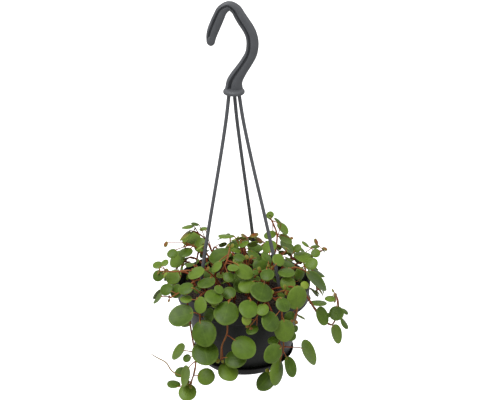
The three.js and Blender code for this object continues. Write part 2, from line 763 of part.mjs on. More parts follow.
// The stems at the front: where each is rooted (turn and radius), the points [x, y, out] of its route
// in the view, and its leaves: [x, y, length, seen breadth, lean, out, face, turn]. Out is the distance
// from the pot's axis. Face is -1 where the underside shows, turn is -1 where the leaf tilts the other
// way.
const FRONT_STEMS = [
  {
    name: 'stem_front_left',
    root: [-50, 30],
    route: [[204, 292, 57], [199, 298, 66], [199, 308, 67], [201, 328, 68], [200, 348, 67]],
    leaves: [
      [185.5, 287.7, 14.2, 10.3, 28, 67],
      [186.2, 298.2, 12.4, 8.2, 5, 70],
      [199.4, 304.8, 15.2, 11.2, 80, 72],
      [192.5, 305, 7, 6, 0, 76],
      [182, 316.5, 23, 19, 38, 74, -1],
      [203.5, 333, 23.5, 22.5, 80, 77],
      [205.2, 351.6, 25, 21.5, 0, 71],
    ],
    spikes: [],
  },
  {
    name: 'stem_foot_left',
    root: [-60, 36],
    route: [[190, 286, 57], [187, 296, 66], [191, 330, 68], [196, 360, 70], [194, 374, 72], [190, 384, 73]],
    leaves: [
      [179.6, 352.4, 18, 8, 58, 72, -1],
      [186.6, 358, 8, 7, 60, 74],
      [187, 376, 19.5, 8, 85, 76, -1],
      [180, 371.5, 12, 8.5, 35, 73],
      [173.6, 383, 13, 7.5, 0, 74],
      [187.5, 391.5, 17, 15.5, 0, 74],
      [205.4, 376.3, 16.5, 15.3, 60, 72],
    ],
    spikes: [
      [[190, 378, 73], [174, 373, 74], [169, 366, 76], [163, 360, 80], [155, 357, 86], [151, 354, 90]],
    ],
  },
  {
    name: 'stem_front_middle',
    root: [-14, 33],
    route: [[231, 299, 57], [227, 306, 65], [227, 334, 66], [222, 345, 67], [221, 360, 67]],
    leaves: [
      [226.2, 311.8, 23.4, 20.3, 0, 73],
      [243.7, 346.9, 22, 21.3, 0, 76],
      [235, 358, 19.5, 16.5, 20, 70],
      [228.4, 370.9, 19, 16.2, -15, 72],
    ],
    spikes: [],
  },
  {
    name: 'stem_front_centre',
    root: [8, 36],
    route: [[250, 299, 57], [255, 307, 65], [259, 318, 66], [250, 326, 66]],
    leaves: [
      [248.8, 307.8, 18.2, 15.2, -20, 70],
      [247.2, 319.7, 10.5, 8.5, 90, 73],
      [236.8, 300, 8.5, 8, 0, 68],
      [252, 329, 11.5, 8, 20, 68],
    ],
    spikes: [],
  },
  {
    name: 'stem_front_right',
    root: [32, 34],
    route: [[272, 297, 57], [280, 304, 65], [282, 322, 66], [280, 340, 67], [277, 350, 67]],
    leaves: [
      [283.6, 304, 18.8, 16, -35, 72],
      [271.5, 321, 19, 15, -65, 74],
      [285.3, 330.6, 19.8, 18.5, 70, 75],
      [291, 336, 9.5, 9.5, 0, 71],
      [273.3, 340, 10.3, 8, 0, 76],
      [282, 340.7, 8, 7, 0, 76],
      [274, 354, 18.8, 15.3, 62, 71],
    ],
    spikes: [],
  },
  {
    name: 'stem_low_right',
    root: [20, 38],
    route: [
      [264, 299, 57], [270, 306, 64], [276, 325, 64], [284, 344, 66], [281, 357, 68],
      [275, 366, 70], [270, 371, 70],
    ],
    leaves: [
      [278.8, 372.3, 23.8, 12, 83, 75],
      [265, 380.6, 19, 16.3, 52, 72],
      [288.8, 367, 19, 10.7, -76, 72, -1],
      [307, 353.2, 25.5, 10.5, -69, 72, -1],
    ],
    spikes: [],
  },
  {
    name: 'stem_wing_right',
    root: [62, 36],
    route: [
      [298, 286, 58], [306, 295, 66], [314, 308, 71], [324, 321, 76], [333, 324, 82],
      [338, 312, 86], [338, 300, 87], [334.5, 293, 88],
    ],
    leaves: [
      [318, 301.6, 16.6, 5, -4, 72],
      [330, 298, 10, 5.5, -5, 86],
      [320.8, 316.2, 18, 10.7, -78, 76, -1],
      [336.5, 312.7, 14.3, 13.3, 0, 88],
      [345.3, 311, 8, 3.5, -45, 92],
      [345, 323, 12, 4.5, -60, 92],
      [335.2, 334, 18, 9.8, -80, 86, -1],
      [328, 315, 5.5, 4.5, 0, 80],
    ],
    spikes: [],
  },
  {
    name: 'stem_shoulder_right',
    root: [50, 28],
    route: [[292, 287, 57], [297, 296, 65], [298, 308, 67], [294, 320, 67]],
    leaves: [
      [298, 298.6, 21.3, 17.3, 60, 72],
      [287.8, 283.5, 14, 14, 0, 62],
      [305, 285, 8, 7, -45, 68],
      [290, 317, 10.5, 9, 45, 70],
      [295.5, 329, 7, 5.5, 60, 67],
    ],
    spikes: [],
  },
  {
    name: 'stem_upper_right',
    root: [76, 38],
    route: [[289, 268, 46], [298, 268, 54], [309, 273, 63]],
    leaves: [
      [314.9, 281.8, 24, 9.6, -46, 70, -1],
      [300.5, 274, 12.5, 9, 75, 58],
      [286.5, 271.2, 16, 8, -3, 48],
      [289, 264, 13.5, 6.5, -20, 44],
      [311, 263.5, 12.5, 11, 30, -62],
    ],
    spikes: [],
  },
  {
    name: 'stem_far_right',
    root: [112, 40],
    route: [[287, 260, -46], [296, 259, -54], [305, 258, -62], [315, 255, -70], [323, 250, -78]],
    leaves: [
      [304, 255.5, 18.5, 10, -15, -60],
      [315.7, 252.8, 9, 8.5, 0, -70],
      [315, 246, 9, 3.5, 5, -72],
      [305.8, 243.7, 8.5, 3, -38, -66],
      [297, 248, 8.5, 7.5, 45, -58],
    ],
    spikes: [],
  },
  {
    name: 'stem_top_right',
    root: [118, 26],
    route: [[274, 256, -30], [277, 242, -36], [276, 228, -39], [271, 219, -41]],
    leaves: [
      [269.8, 214.6, 8, 6.5, 25, -41],
      [282, 229, 13.5, 7.5, -48, -44, -1],
      [278, 220, 8, 2.5, -38, -42],
      [269.7, 234, 12, 7.5, 15, -34],
      [285, 240, 14, 7.5, -35, -46, -1],
      [286.7, 247.8, 18.5, 8.5, -45, -50, -1],
    ],
    spikes: [],
  },
  {
    name: 'stem_heart_left',
    root: [-24, 18],
    route: [[222, 278, 30], [221, 270, 28], [226, 263, 26], [230, 255, 22], [230, 247, 18]],
    leaves: [
      [244.5, 270.5, 17.5, 13.5, -25, 34],
      [233, 267, 10.5, 6, 0, 36],
      [239, 257, 10.5, 8, 0, 20],
      [219.5, 254, 22.5, 12.5, 22, 16],
      [228.4, 276.7, 10.5, 9.5, 0, 40],
      [216, 266, 12.5, 7, 50, 36],
    ],
    spikes: [],
  },
  {
    name: 'stem_heart_top',
    root: [160, 14],
    route: [[246, 262, -8], [246, 254, -14], [243, 246, -22], [243, 240, -28]],
    leaves: [
      [232.5, 244.8, 15.5, 9, 35, -26],
      [255, 246, 14.5, 8, -12, -22],
      [253.3, 257, 15.5, 7.5, -40, -10, -1],
      [226.7, 235, 15.5, 3.5, 0, -34],
      [243, 241, 9, 5.5, 20, -36],
      [246, 237, 11, 3, -45, -30],
    ],
    spikes: [],
  },
  {
    name: 'stem_upper_left',
    root: [-118, 38],
    route: [[207, 256, -42], [200, 250, -48], [192, 245, -54], [186, 243, -58]],
    leaves: [
      [191, 238, 18.5, 13, 15, -56],
      [199.7, 244.8, 14, 12, 60, -48],
      [185.3, 251.3, 14, 8.5, 12, -58],
      [176.4, 258.6, 17.4, 12.8, 60, -66],
      [172, 253, 10, 8.5, 20, -70],
    ],
    spikes: [],
  },
  {
    name: 'stem_top_left',
    root: [-140, 30],
    route: [[210, 248, -44], [206, 240, -50], [201, 234, -54], [194, 231, -58]],
    leaves: [
      [187.5, 226, 12, 3, 10, -60],
      [195, 223.5, 7.5, 3, -15, -58],
      [203.5, 228.3, 8.5, 3.5, 10, -54],
      [184.5, 235, 13, 3.5, 42, -62],
    ],
    spikes: [],
  },
  {
    name: 'stem_wing_left',
    root: [-100, 41],
    route: [[193, 271, 54], [186, 271, 60], [178, 272, 66], [169, 271, 72], [160, 271, 78]],
    leaves: [
      [157.6, 264.3, 10, 6.5, 15, -80],
      [157.8, 275.7, 10.8, 9.8, 80, 80],
      [173.1, 276.2, 15.8, 12.4, 45, 66],
      [195.4, 271.8, 16.5, 9.2, 30, 56],
    ],
    spikes: [],
  },
  {
    name: 'stem_drop_left',
    root: [-76, 34],
    route: [[197, 280, 54], [189, 286, 60], [180, 292, 66], [170, 298, 72]],
    leaves: [
      [166, 289, 12.5, 10, 45, 72],
      [175.5, 291, 13.5, 10, 75, 68],
      [158.7, 299, 12.5, 3.5, 55, 80, -1],
      [190, 264, 9, 3.5, 10, 54],
    ],
    spikes: [],
  },
  {
    name: 'stem_front_left_top',
    root: [-34, 25],
    route: [[216, 287, 46], [213, 290, 54], [214, 294, 60]],
    leaves: [
      [206, 281.3, 16.5, 9, 12, 58],
      [214, 295.6, 17.4, 12.4, -10, 66],
      [219.4, 289, 9.5, 7, -30, 62],
      [215.4, 304.5, 8, 4.5, 0, 69],
    ],
    spikes: [],
  },
  {
    name: 'stem_heart_right',
    root: [28, 20],
    route: [[262, 282, 34], [266, 276, 36], [270, 268, 34]],
    leaves: [
      [262.3, 290.6, 22.3, 15.6, -28, 58],
      [267, 274, 13, 10.5, 10, 42],
      [279, 259.5, 12.5, 10, -45, 40],
      [267.5, 257, 12.5, 6.5, -45, 26],
      [247, 285, 16, 13, 0, 48],
      [269, 246, 14.5, 11, 30, -28],
    ],
    spikes: [],
  },
];

// Sets a leaf seen at [x, y], as long and as broad as it looks, its long way leaning from the level.
const OUT_STEPS = [0, 1.5, -1.5, 3, -3, 4.5, -4.5, 6, -6, 8, -8, 10];
const LEAF_STEPS = [[1, true], [1, false], [0.88, true], [0.88, false], [0.75, false]].flatMap(
  ([size, alone]) => OUT_STEPS.map((step) => [step, size, alone]),
);
function setSeenLeaf(stem, [x, y, long, broad, lean, out, face = 1, turn = 1]) {
  for (const [step, size, alone] of LEAF_STEPS) {
    const centre = seen(x, y, out + step * Math.sign(out));
    const view = unit(sub(centre, eye));
    const slope = add(
      scale(rightward, Math.cos(radians(lean))),
      scale(upward, Math.sin(radians(lean))),
    );
    const major = unit(flatten(slope, view));
    const minor = cross(major, view);
    const facing = Math.min(broad / long, 0.97);
    const tilt = scale(minor, Math.sqrt(1 - facing * facing));
    const away = add(unit([centre[0], centre[1], 0]), [0, 0, 1]);
    const side = Math.sign(dot(tilt, away)) * turn || 1;
    const normal = unit(add(scale(view, -facing), scale(tilt, side)));
    if (setLeaf(stem, centre, normal, long * size, face, alone)) {
      return true;
    }
  }
  return false;
}

// Dresses a stem that nobody measured: leaves alternate along it, smaller towards its tip.
function dressStem(stem, draw, spacing, sizes, lift) {
  const marks = [0];
  stem.rods.forEach((piece) => marks.push(marks[marks.length - 1] + 2 * piece.reach));
  const whole = marks[marks.length - 1];
  let hand = draw() < 0.5 ? -1 : 1;
  for (let mark = whole - 1; mark > HOLE_DEPTH + 7; mark -= spacing * (0.8 + 0.4 * draw())) {
    const k = marks.filter((m) => m <= mark).length - 1;
    const start = mix(stem.rods[k].a, stem.rods[k].b, (mark - marks[k]) / (marks[k + 1] - marks[k]));
    const way = unit(sub(stem.rods[k].b, stem.rods[k].a));
    const outward = unit([start[0], start[1], 0]);
    const toTip = 1 - 0.45 * Math.max(0, mark / whole - 0.55) / 0.45;
    const arching = start[2] > RIM_HEIGHT && Math.hypot(start[0], start[1]) > SHOULDER_RADIUS;
    const share = arching ? SHOULDER_SHARE : 1;
    hand = -hand;
    for (let attempt = 0; attempt < LEAF_TRIES; attempt += 1) {
      const long = (sizes[0] + (sizes[1] - sizes[0]) * draw())
        * toTip * share * (1 - 0.4 * attempt / LEAF_TRIES);
      const normal = unit(add(
        add(scale(outward, 0.55 + 0.5 * draw()), [0, 0, lift + 0.5 * draw()]),
        [0.7 * (draw() - 0.5), 0.7 * (draw() - 0.5), 0.4 * (draw() - 0.5)],
      ));
      const aside = unit(cross(way, outward));
      const course = add(
        add(scale(way, 0.9 * draw()), scale(aside, hand * (0.35 + 0.9 * draw()))),
        scale(outward, 0.6 * (draw() - 0.3)),
      );
      const along = unit(flatten(course, normal));
      const lead = unit(add(scale(normal, 0.7), along));
      const base = add(start, scale(lead, PETIOLE_LENGTH * (0.7 + 0.7 * draw())));
      const centre = add(base, scale(along, long / 2));
      if (placeLeaf(stem, start, base, makeLeaf(centre, normal, along, long, 1), true, true)) {
        break;
      }
    }
  }
}

function spikeOn(stem, points) {
  const row = spaced(smooth(points, 6), 6);
  const pieces = row.slice(1).map((point, i) => rodOf(row[i], point, SPIKE_RADIUS, stem.name));
  if (pieces.every((piece) => rodFits(piece, stem.name))) {
    stem.spikes.push(row);
    taken.rods.push(...pieces);
  }
}

// A stem that arches over the rim and hangs down beside the pot.
function trailingPoints(turn, radius, drift, drop, out) {
  return [
    ...rootPoints(turn, radius),
    around(turn + drift * 0.3, (radius + RIM_RADIUS) / 2, RIM_HEIGHT + 7),
    around(turn + drift * 0.5, RIM_RADIUS + 2, RIM_HEIGHT + 8),
    around(turn + drift * 0.7, RIM_RADIUS + 7, RIM_HEIGHT),
    around(turn + drift, out, RIM_HEIGHT - drop / 2),
    around(turn + drift * 1.2, out + 1, RIM_HEIGHT - drop),
  ];
}

// A stem of the mound, which leans out as it rises.
function moundPoints(turn, radius, drift, rise, spread) {
  return [
    ...rootPoints(turn, radius),
    around(turn + drift * 0.3, radius + spread * 0.2, SOIL_CROWN_HEIGHT + rise * 0.45),
    around(turn + drift * 0.6, radius + spread * 0.6, SOIL_CROWN_HEIGHT + rise * 0.8),
    around(turn + drift, radius + spread, SOIL_CROWN_HEIGHT + rise),
  ];
}

// Plans one stem, with a fresh draw of its course until it is clear of the others.
function planStem(name, draw, course) {
  for (let attempt = 0; attempt < ATTEMPTS; attempt += 1) {
    const stem = layStem(name, course(draw), STEM_RADIUS);
    if (stemFits(stem)) {
      keepStem(stem);
      return stem;
    }
  }
  return null;
}

// The front stems keep the places and sizes of their leaves; the rest go on by rule all round.
function planPlant() {
  const draw = draws(SEED);
  const front = FRONT_STEMS.map(({ name, root, route, leaves, spikes }) => {
    for (const step of OUT_STEPS) {
      const points = route.map(([x, y, out]) => seen(x, y, out + step * Math.sign(out)));
      const stem = layStem(name, [...rootPoints(...root), ...points], STEM_RADIUS);
      if (stemFits(stem)) {
        keepStem(stem);
        return { stem, leaves, spikes };
      }
    }
    return null;
  }).filter((entry) => entry !== null);

  front.forEach(({ stem, spikes }) => {
    spikes.forEach((spike) => spikeOn(stem, spike.map((point) => seen(...point))));
  });
  front
    .flatMap(({ stem, leaves }) => leaves.map((leaf) => ({ stem, leaf })))
    .sort((a, b) => b.leaf[2] - a.leaf[2])
    .forEach(({ stem, leaf }) => setSeenLeaf(stem, leaf));

  const ruled = [];
  const plan = (name, course, dress) => {
    const stem = planStem(name, draw, course);
    if (stem !== null) {
      ruled.push({ stem, dress });
    }
  };
  TRAILING_TURNS.forEach((turn, i) => plan(`stem_trailing_${i + 1}`, (next) => trailingPoints(
    turn + 8 * (next() - 0.5),
    38 + 6 * next(),
    16 * (next() - 0.5),
    TRAILING_DROPS[i] * (0.9 + 0.2 * next()),
    RIM_RADIUS + 7 + 3 * next(),
  ), [11, [11, 21], 0.25]));
  MOUND_RINGS.forEach(([count, radius, rise, spread, offset], ring) => {
    for (let i = 0; i < count; i += 1) {
      plan(`stem_mound_${ring + 1}_${i + 1}`, (next) => moundPoints(
        offset + 360 * i / count + 14 * (next() - 0.5),
        radius + 5 * (next() - 0.5),
        30 * (next() - 0.5),
        rise * (0.85 + 0.3 * next()),
        spread * (0.8 + 0.4 * next()),
      ), [8.5, [10, 19], 0.8]);
    }
  });
  // The mound is dressed first, from its edge inwards.
  ruled.reverse().forEach(({ stem, dress }) => dressStem(stem, draw, ...dress));
}

// The outline of a leaf, in millimetres along and across: round, blunt where its petiole joins and a
// little pointed at its tip. Smaller leaves have fewer corners.
function leafOutline(long) {
  const pairs = long < SMALL_LEAF ? 2 : 3;
  const pointed = long > LARGE_LEAF;
  const corners = pointed ? [new THREE.Vector2(long / 2, 0)] : [];
  for (let i = 1; i <= 2 * pairs; i += 1) {
    const hand = i <= pairs ? i : i - 2 * pairs - 1;
    const angle = Math.sign(hand) * (Math.abs(hand) - (pointed ? 0 : 0.5)) * 2 * Math.PI / (2 * pairs + 1);
    corners.push(new THREE.Vector2(
      Math.cos(angle) * long / 2,
      Math.sin(angle) * BLADE_BREADTH * long / 2,
    ));
    if (i === pairs) {
      corners.push(new THREE.Vector2(-long / 2, PETIOLE_RADIUS));
      corners.push(new THREE.Vector2(-long / 2, -PETIOLE_RADIUS));
    }
  }
  return corners;
}

// The outline of a petiole that goes on from the blunt base of its leaf.
const petioleOutline = (long) => [
  new THREE.Vector2(-long / 2, PETIOLE_RADIUS),
  new THREE.Vector2(-long, PETIOLE_RADIUS),
  new THREE.Vector2(-long, -PETIOLE_RADIUS),
  new THREE.Vector2(-long / 2, -PETIOLE_RADIUS),
];

// A leaf: an arched blade and the petiole that ties it to its stem, in one piece.
function makeBlade({ centre, normal, along, long, thickness, dome, start }) {
  const side = cross(normal, along);
  const base = sub(centre, scale(along, long / 2));
  const way = unit(sub(base, start));
  const aside = unit(flatten(side, way));
  const above = cross(way, aside);
  const flat = mergeGeometries([leafOutline(long), petioleOutline(long)].map((outline) => (
    new THREE.ExtrudeGeometry(new THREE.Shape(outline), { depth: thickness, bevelEnabled: false })
  )));
  const place = (x, y, z) => {
    const u = 2 * x / long;
    const v = 2 * y / long;
    const height = z - thickness / 2;
    return u < -1.5
      ? add(start, add(
        scale(aside, Math.sign(v) * PETIOLE_END),
        scale(above, Math.sign(height) * PETIOLE_END),
      ))
      : add(
        add(centre, scale(along, u * long / 2)),
        add(scale(side, v * long / 2), scale(normal, height - dome * (v * v + 0.5 * u * u))),
      );
  };
  // Blade and petiole meet face to face at the base, where neither has a wall.
  const { array } = flat.attributes.position;
  const corners = [];
  for (let i = 0; i < array.length; i += 9) {
    const wall = [0, 3, 6].every((n) => Math.abs(array[i + n] + long / 2) < 1e-4);
    if (!wall) {
      [0, 3, 6].forEach((n) => corners.push(...place(array[i + n], array[i + n + 1], array[i + n + 2])));
    }
  }
  const geometry = new THREE.BufferGeometry();
  geometry.setAttribute('position', new THREE.Float32BufferAttribute(corners, 3));
  return solid(geometry);
}

// A whole leafy stem in one solid: its stem, leaves and flower spikes.
function makeStem(stem) {
  return surface(fuse([
    solid(rod(stem.row, stem.radius, STEM_SIDES)),
    ...stem.leaves.map((leaf) => makeBlade(leaf)),
    ...stem.spikes.map((row) => solid(rod(row, SPIKE_RADIUS, 3))),
  ]));
}

const rodRoutes = ROD_TURNS.map((turn) => rodRoute(turn));
rodRoutes.forEach((route) => {
  route.slice(1).forEach((point, i) => taken.rods.push(rodOf(route[i], point, ROD_RADIUS, 'hanger')));
});
planPlant();

const hangingPot = new THREE.Group();
hangingPot.name = 'potted_trailing_jade_peperomia';
function keep(name, geometry, finish) {
  const mesh = new THREE.Mesh(geometry, finish);
  mesh.name = name;
  mesh.position.set(...scale(SEAT, -1));
  hangingPot.add(mesh);
}
keep('hanger', makeHanger(), finishes.hanger);
keep('pot', makePot(), finishes.pot);
keep('saucer', makeSaucer(), finishes.saucer);
keep('soil', makeSoil([
  ...stems.map(({ row, radius }) => ({
    centre: row[0],
    radius: (radius + GAP) * 2,
    bottom: SOIL_CROWN_HEIGHT - HOLE_DEPTH,
  })),
]), finishes.soil);
stems.forEach((stem) => keep(stem.name, makeStem(stem), finishes.plant));

export default hangingPot;
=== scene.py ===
"""A trailing peperomia in a hanging plastic nursery pot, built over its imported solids.

The pot, saucer and hanger are turned and swept again with rounded edges, and every leafy stem is
grown again, leaf for leaf, on the same plan as its solid. The plan is worked out in millimetres above
the saucer's underside, on the pot's own axis; meshes are then moved to the shared frame, whose origin
is the seat of the hook.
"""

import logging
import math
from collections.abc import Callable, Sequence
from dataclasses import dataclass, field
from enum import Enum
from typing import ClassVar

import bmesh
import bpy
import numpy as np
from mathutils import Matrix, Vector, noise


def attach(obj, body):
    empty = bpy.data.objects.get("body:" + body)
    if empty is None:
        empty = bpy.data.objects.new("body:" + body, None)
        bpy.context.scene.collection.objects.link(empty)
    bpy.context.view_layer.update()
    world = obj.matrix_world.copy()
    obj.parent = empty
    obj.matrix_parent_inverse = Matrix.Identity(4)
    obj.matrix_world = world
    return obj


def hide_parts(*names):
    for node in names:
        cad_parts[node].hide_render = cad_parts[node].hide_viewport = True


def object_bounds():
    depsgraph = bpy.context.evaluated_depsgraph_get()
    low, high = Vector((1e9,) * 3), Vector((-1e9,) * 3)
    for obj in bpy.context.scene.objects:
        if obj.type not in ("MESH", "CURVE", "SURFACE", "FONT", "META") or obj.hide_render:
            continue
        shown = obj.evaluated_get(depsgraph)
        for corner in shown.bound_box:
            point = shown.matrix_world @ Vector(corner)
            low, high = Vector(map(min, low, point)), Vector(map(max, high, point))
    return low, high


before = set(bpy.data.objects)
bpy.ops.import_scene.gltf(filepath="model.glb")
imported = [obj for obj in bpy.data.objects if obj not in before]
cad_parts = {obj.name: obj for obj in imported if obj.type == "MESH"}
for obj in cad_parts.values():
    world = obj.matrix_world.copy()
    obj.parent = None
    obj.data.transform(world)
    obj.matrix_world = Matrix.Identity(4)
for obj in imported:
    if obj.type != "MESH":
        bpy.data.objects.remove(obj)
CAD_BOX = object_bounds()

log = logging.getLogger("peperomia")

Point = tuple[float, float, float]
Color = tuple[float, float, float, float]
Shell = bmesh.types.BMesh
Piece = bpy.types.Object
Material = bpy.types.Material
Node = bpy.types.Node
Socket = bpy.types.NodeSocket
Value = float | Socket

# The driving values of the solids, with lengths in millimetres and turns in degrees.
GAP = 0.3
SEAT = (-12.5, 0.0, 331.0)
ROD_TURNS = (-66, 53, 164)
STEM_RADIUS = 1.25
PETIOLE_RADIUS = 0.65
LEAST_RUN = 0.3
STEM_STEP = 15
HOLE_DEPTH = 10
ROOT_RISE = 8
PETIOLE_LENGTH = 6
LONGEST_PETIOLE = 24
PETIOLE_TRIES = 24
PETIOLE_SPACING = 2.6
PETIOLE_PLACES = (0.1, 0.3, 0.5, 0.7, 0.9)
SPIKE_RADIUS = 0.9
RIM_DOTS = 14
CLEAR = 0.35
ATTEMPTS = 40
LEAF_TRIES = 40
SHOULDER_RADIUS = 42.0
SHOULDER_SHARE = 0.55
ROOT_MARGIN = 8
BARE_RUN = 7
SEED = 28
TRAILING_TURNS = (92, 112, 128, 143, 156, 168, 180, 192, 204, 217, 232, 248, 268)
TRAILING_DROPS = (12, 22, 38, 70, 42, 56, 82, 50, 36, 66, 30, 20, 12)
# The mound's rings of stems: how many, how far from the axis, their rise, spread and first turn.
MOUND_RINGS = ((4, 9, 44, 8, 20), (7, 24, 34, 16, 5), (5, 38, 20, 20, 170))
# The run of stem from leaf to leaf, the least and the greatest leaf, and how far the leaves turn up.
TRAILING_DRESS = (11, (11, 21), 0.25)
MOUND_DRESS = (8.5, (10, 19), 0.8)
BLADE_THICKNESS = 1.1
SMALL_BLADE_THICKNESS = 0.8
SMALL_BLADE_LENGTH = 10
BLADE_DOME = 0.09
BLADE_BREADTH = 0.95
# How much farther out a measured stem or leaf is tried, until it is clear of the others.
OUT_STEPS = (0, 1.5, -1.5, 3, -3, 4.5, -4.5, 6, -6, 8, -8, 10)
# The shares of its length that a measured leaf is tried with, and whether its petiole stays apart.
LEAF_SIZES = ((1, True), (1, False), (0.88, True), (0.88, False), (0.75, False))


def add(a: Point, b: Point) -> Point:
    """Returns the sum of two points."""
    return (a[0] + b[0], a[1] + b[1], a[2] + b[2])


def sub(a: Point, b: Point) -> Point:
    """Returns the way from b to a."""
    return (a[0] - b[0], a[1] - b[1], a[2] - b[2])


def scale(a: Point, k: float) -> Point:
    """Returns a point scaled by a number."""
    return (a[0] * k, a[1] * k, a[2] * k)


def dot(a: Point, b: Point) -> float:
    """Returns the scalar product."""
    return a[0] * b[0] + a[1] * b[1] + a[2] * b[2]


def cross(a: Point, b: Point) -> Point:
    """Returns the vector product."""
    return (
        a[1] * b[2] - a[2] * b[1],
        a[2] * b[0] - a[0] * b[2],
        a[0] * b[1] - a[1] * b[0],
    )


def length(a: Point) -> float:
    """Returns the length of a vector."""
    return math.sqrt(a[0] * a[0] + a[1] * a[1] + a[2] * a[2])


def unit(a: Point) -> Point:
    """Returns a vector of length one the same way."""
    return scale(a, 1 / length(a))


def mix(a: Point, b: Point, t: float) -> Point:
    """Returns the point a share t of the way from a to b."""
    return add(scale(a, 1 - t), scale(b, t))


def flatten(v: Point, normal: Point) -> Point:
    """Returns the part of v that lies square to normal."""
    return sub(v, scale(normal, dot(v, normal)))


def sign(value: float) -> float:
    """Returns -1, 0 or 1."""
    return float((value > 0) - (value < 0))


def around(turn: float, radius: float, height: float) -> Point:
    """Returns a point on the pot.

    Args:
        turn: Degrees from the front, positive to the right.
        radius: Distance from the pot's axis.
        height: Height above the saucer's underside.

    Returns:
        The point in the pot's own millimetres.
    """
    angle = turn * math.pi / 180
    return (radius * math.sin(angle), -radius * math.cos(angle), height)


class Draws:
    """Seeded draws from 0 to 1, the same on every run."""

    MASK = 0xFFFFFFFF
    STEP = 0x6D2B79F5

    def __init__(self, seed: int) -> None:
        """Starts the row of draws at a seed."""
        self.state = seed & self.MASK

    def __call__(self) -> float:
        """Returns the next draw."""
        mask = self.MASK
        self.state = (self.state + self.STEP) & mask
        t = self.state
        t = ((t ^ (t >> 15)) * (t | 1)) & mask
        t ^= (t + ((t ^ (t >> 7)) * (t | 61))) & mask
        return (t ^ (t >> 14)) / (mask + 1)


def smooth(points: Sequence[Point], steps: int) -> list[Point]:
    """Rounds a row of points with a curve that runs through them.

    Args:
        points: The row to round.
        steps: How many points each stretch gets.

    Returns:
        The finer row.
    """
    row: list[Point] = []
    last = len(points) - 1
    for i in range(last):
        a = points[max(i - 1, 0)]
        b = points[i]
        c = points[i + 1]
        d = points[min(i + 2, last)]
        for k in range(steps):
            t = k / steps
            row.append(tuple(
                0.5 * (
                    2 * b[n] + (c[n] - a[n]) * t
                    + (2 * a[n] - 5 * b[n] + 4 * c[n] - d[n]) * t * t
                    + (3 * b[n] - a[n] - 3 * c[n] + d[n]) * t * t * t
                )
                for n in range(3)
            ))
    row.append(points[last])
    return row


def spaced(points: Sequence[Point], count: int) -> list[Point]:
    """Sets the points of a row evenly apart.

    Args:
        points: The row as it is.
        count: How many stretches the new row has.

    Returns:
        The new row, from the same start to the same end.
    """
    marks = [0.0]
    for i in range(1, len(points)):
        marks.append(marks[i - 1] + length(sub(points[i], points[i - 1])))
    row = []
    k = 0
    for i in range(count + 1):
        mark = marks[-1] * i / count
        while k < len(points) - 2 and marks[k + 1] < mark:
            k += 1
        row.append(mix(points[k], points[k + 1], (mark - marks[k]) / (marks[k + 1] - marks[k])))
    return row


@dataclass(frozen=True)
class PotSizes:
    """Sizes of the pot, the saucer and the soil, with heights above the saucer's underside."""

    rim_radius: float = 60.0
    rim_height: float = 77.0
    collar: float = 15.0
    bead: float = 0.7
    wall: float = 1.4
    wall_top_radius: float = 52.4
    wall_foot_radius: float = 44.2
    wall_foot_height: float = 11.5
    base_radius: float = 37.0
    base_height: float = 5.0
    floor: float = 2.0
    base_edge: tuple[float, float] = (3.6, 2.2)
    lip: float = 1.8
    ledge_edge: float = 1.0
    saucer_radius: float = 46.0
    saucer_height: float = 11.0
    soil_edge: float = 65.0
    soil_crown: float = 67.5

    @property
    def ledge(self) -> float:
        """Returns the height of the ledge under the collar."""
        return self.rim_height - self.collar

    def wall_radius_at(self, height: float) -> float:
        """Returns the outer radius of the tapered wall at a height."""
        run = self.wall_top_radius - self.wall_foot_radius
        return self.wall_foot_radius + run * (height - self.wall_foot_height) / (
            self.ledge - self.wall_foot_height
        )

    def clear_of(self, point: Point, margin: float) -> bool:
        """Tells whether a point is clear of the pot, the saucer and the soil.

        Args:
            point: The point to test.
            margin: How far it has to stay away.

        Returns:
            True where it is clear.
        """
        x, y, z = point
        radius = math.sqrt(x * x + y * y)
        if z > self.rim_height + margin or z < -margin:
            return True
        if z > self.soil_crown + margin and radius < self.rim_radius - self.wall - margin:
            return True
        outer = max(self.wall_radius_at(z), self.wall_foot_radius)
        if z > self.ledge - margin:
            outer = self.rim_radius + self.bead
        elif z < self.saucer_height + margin:
            outer = self.saucer_radius
        return radius > outer + margin


POT = PotSizes()


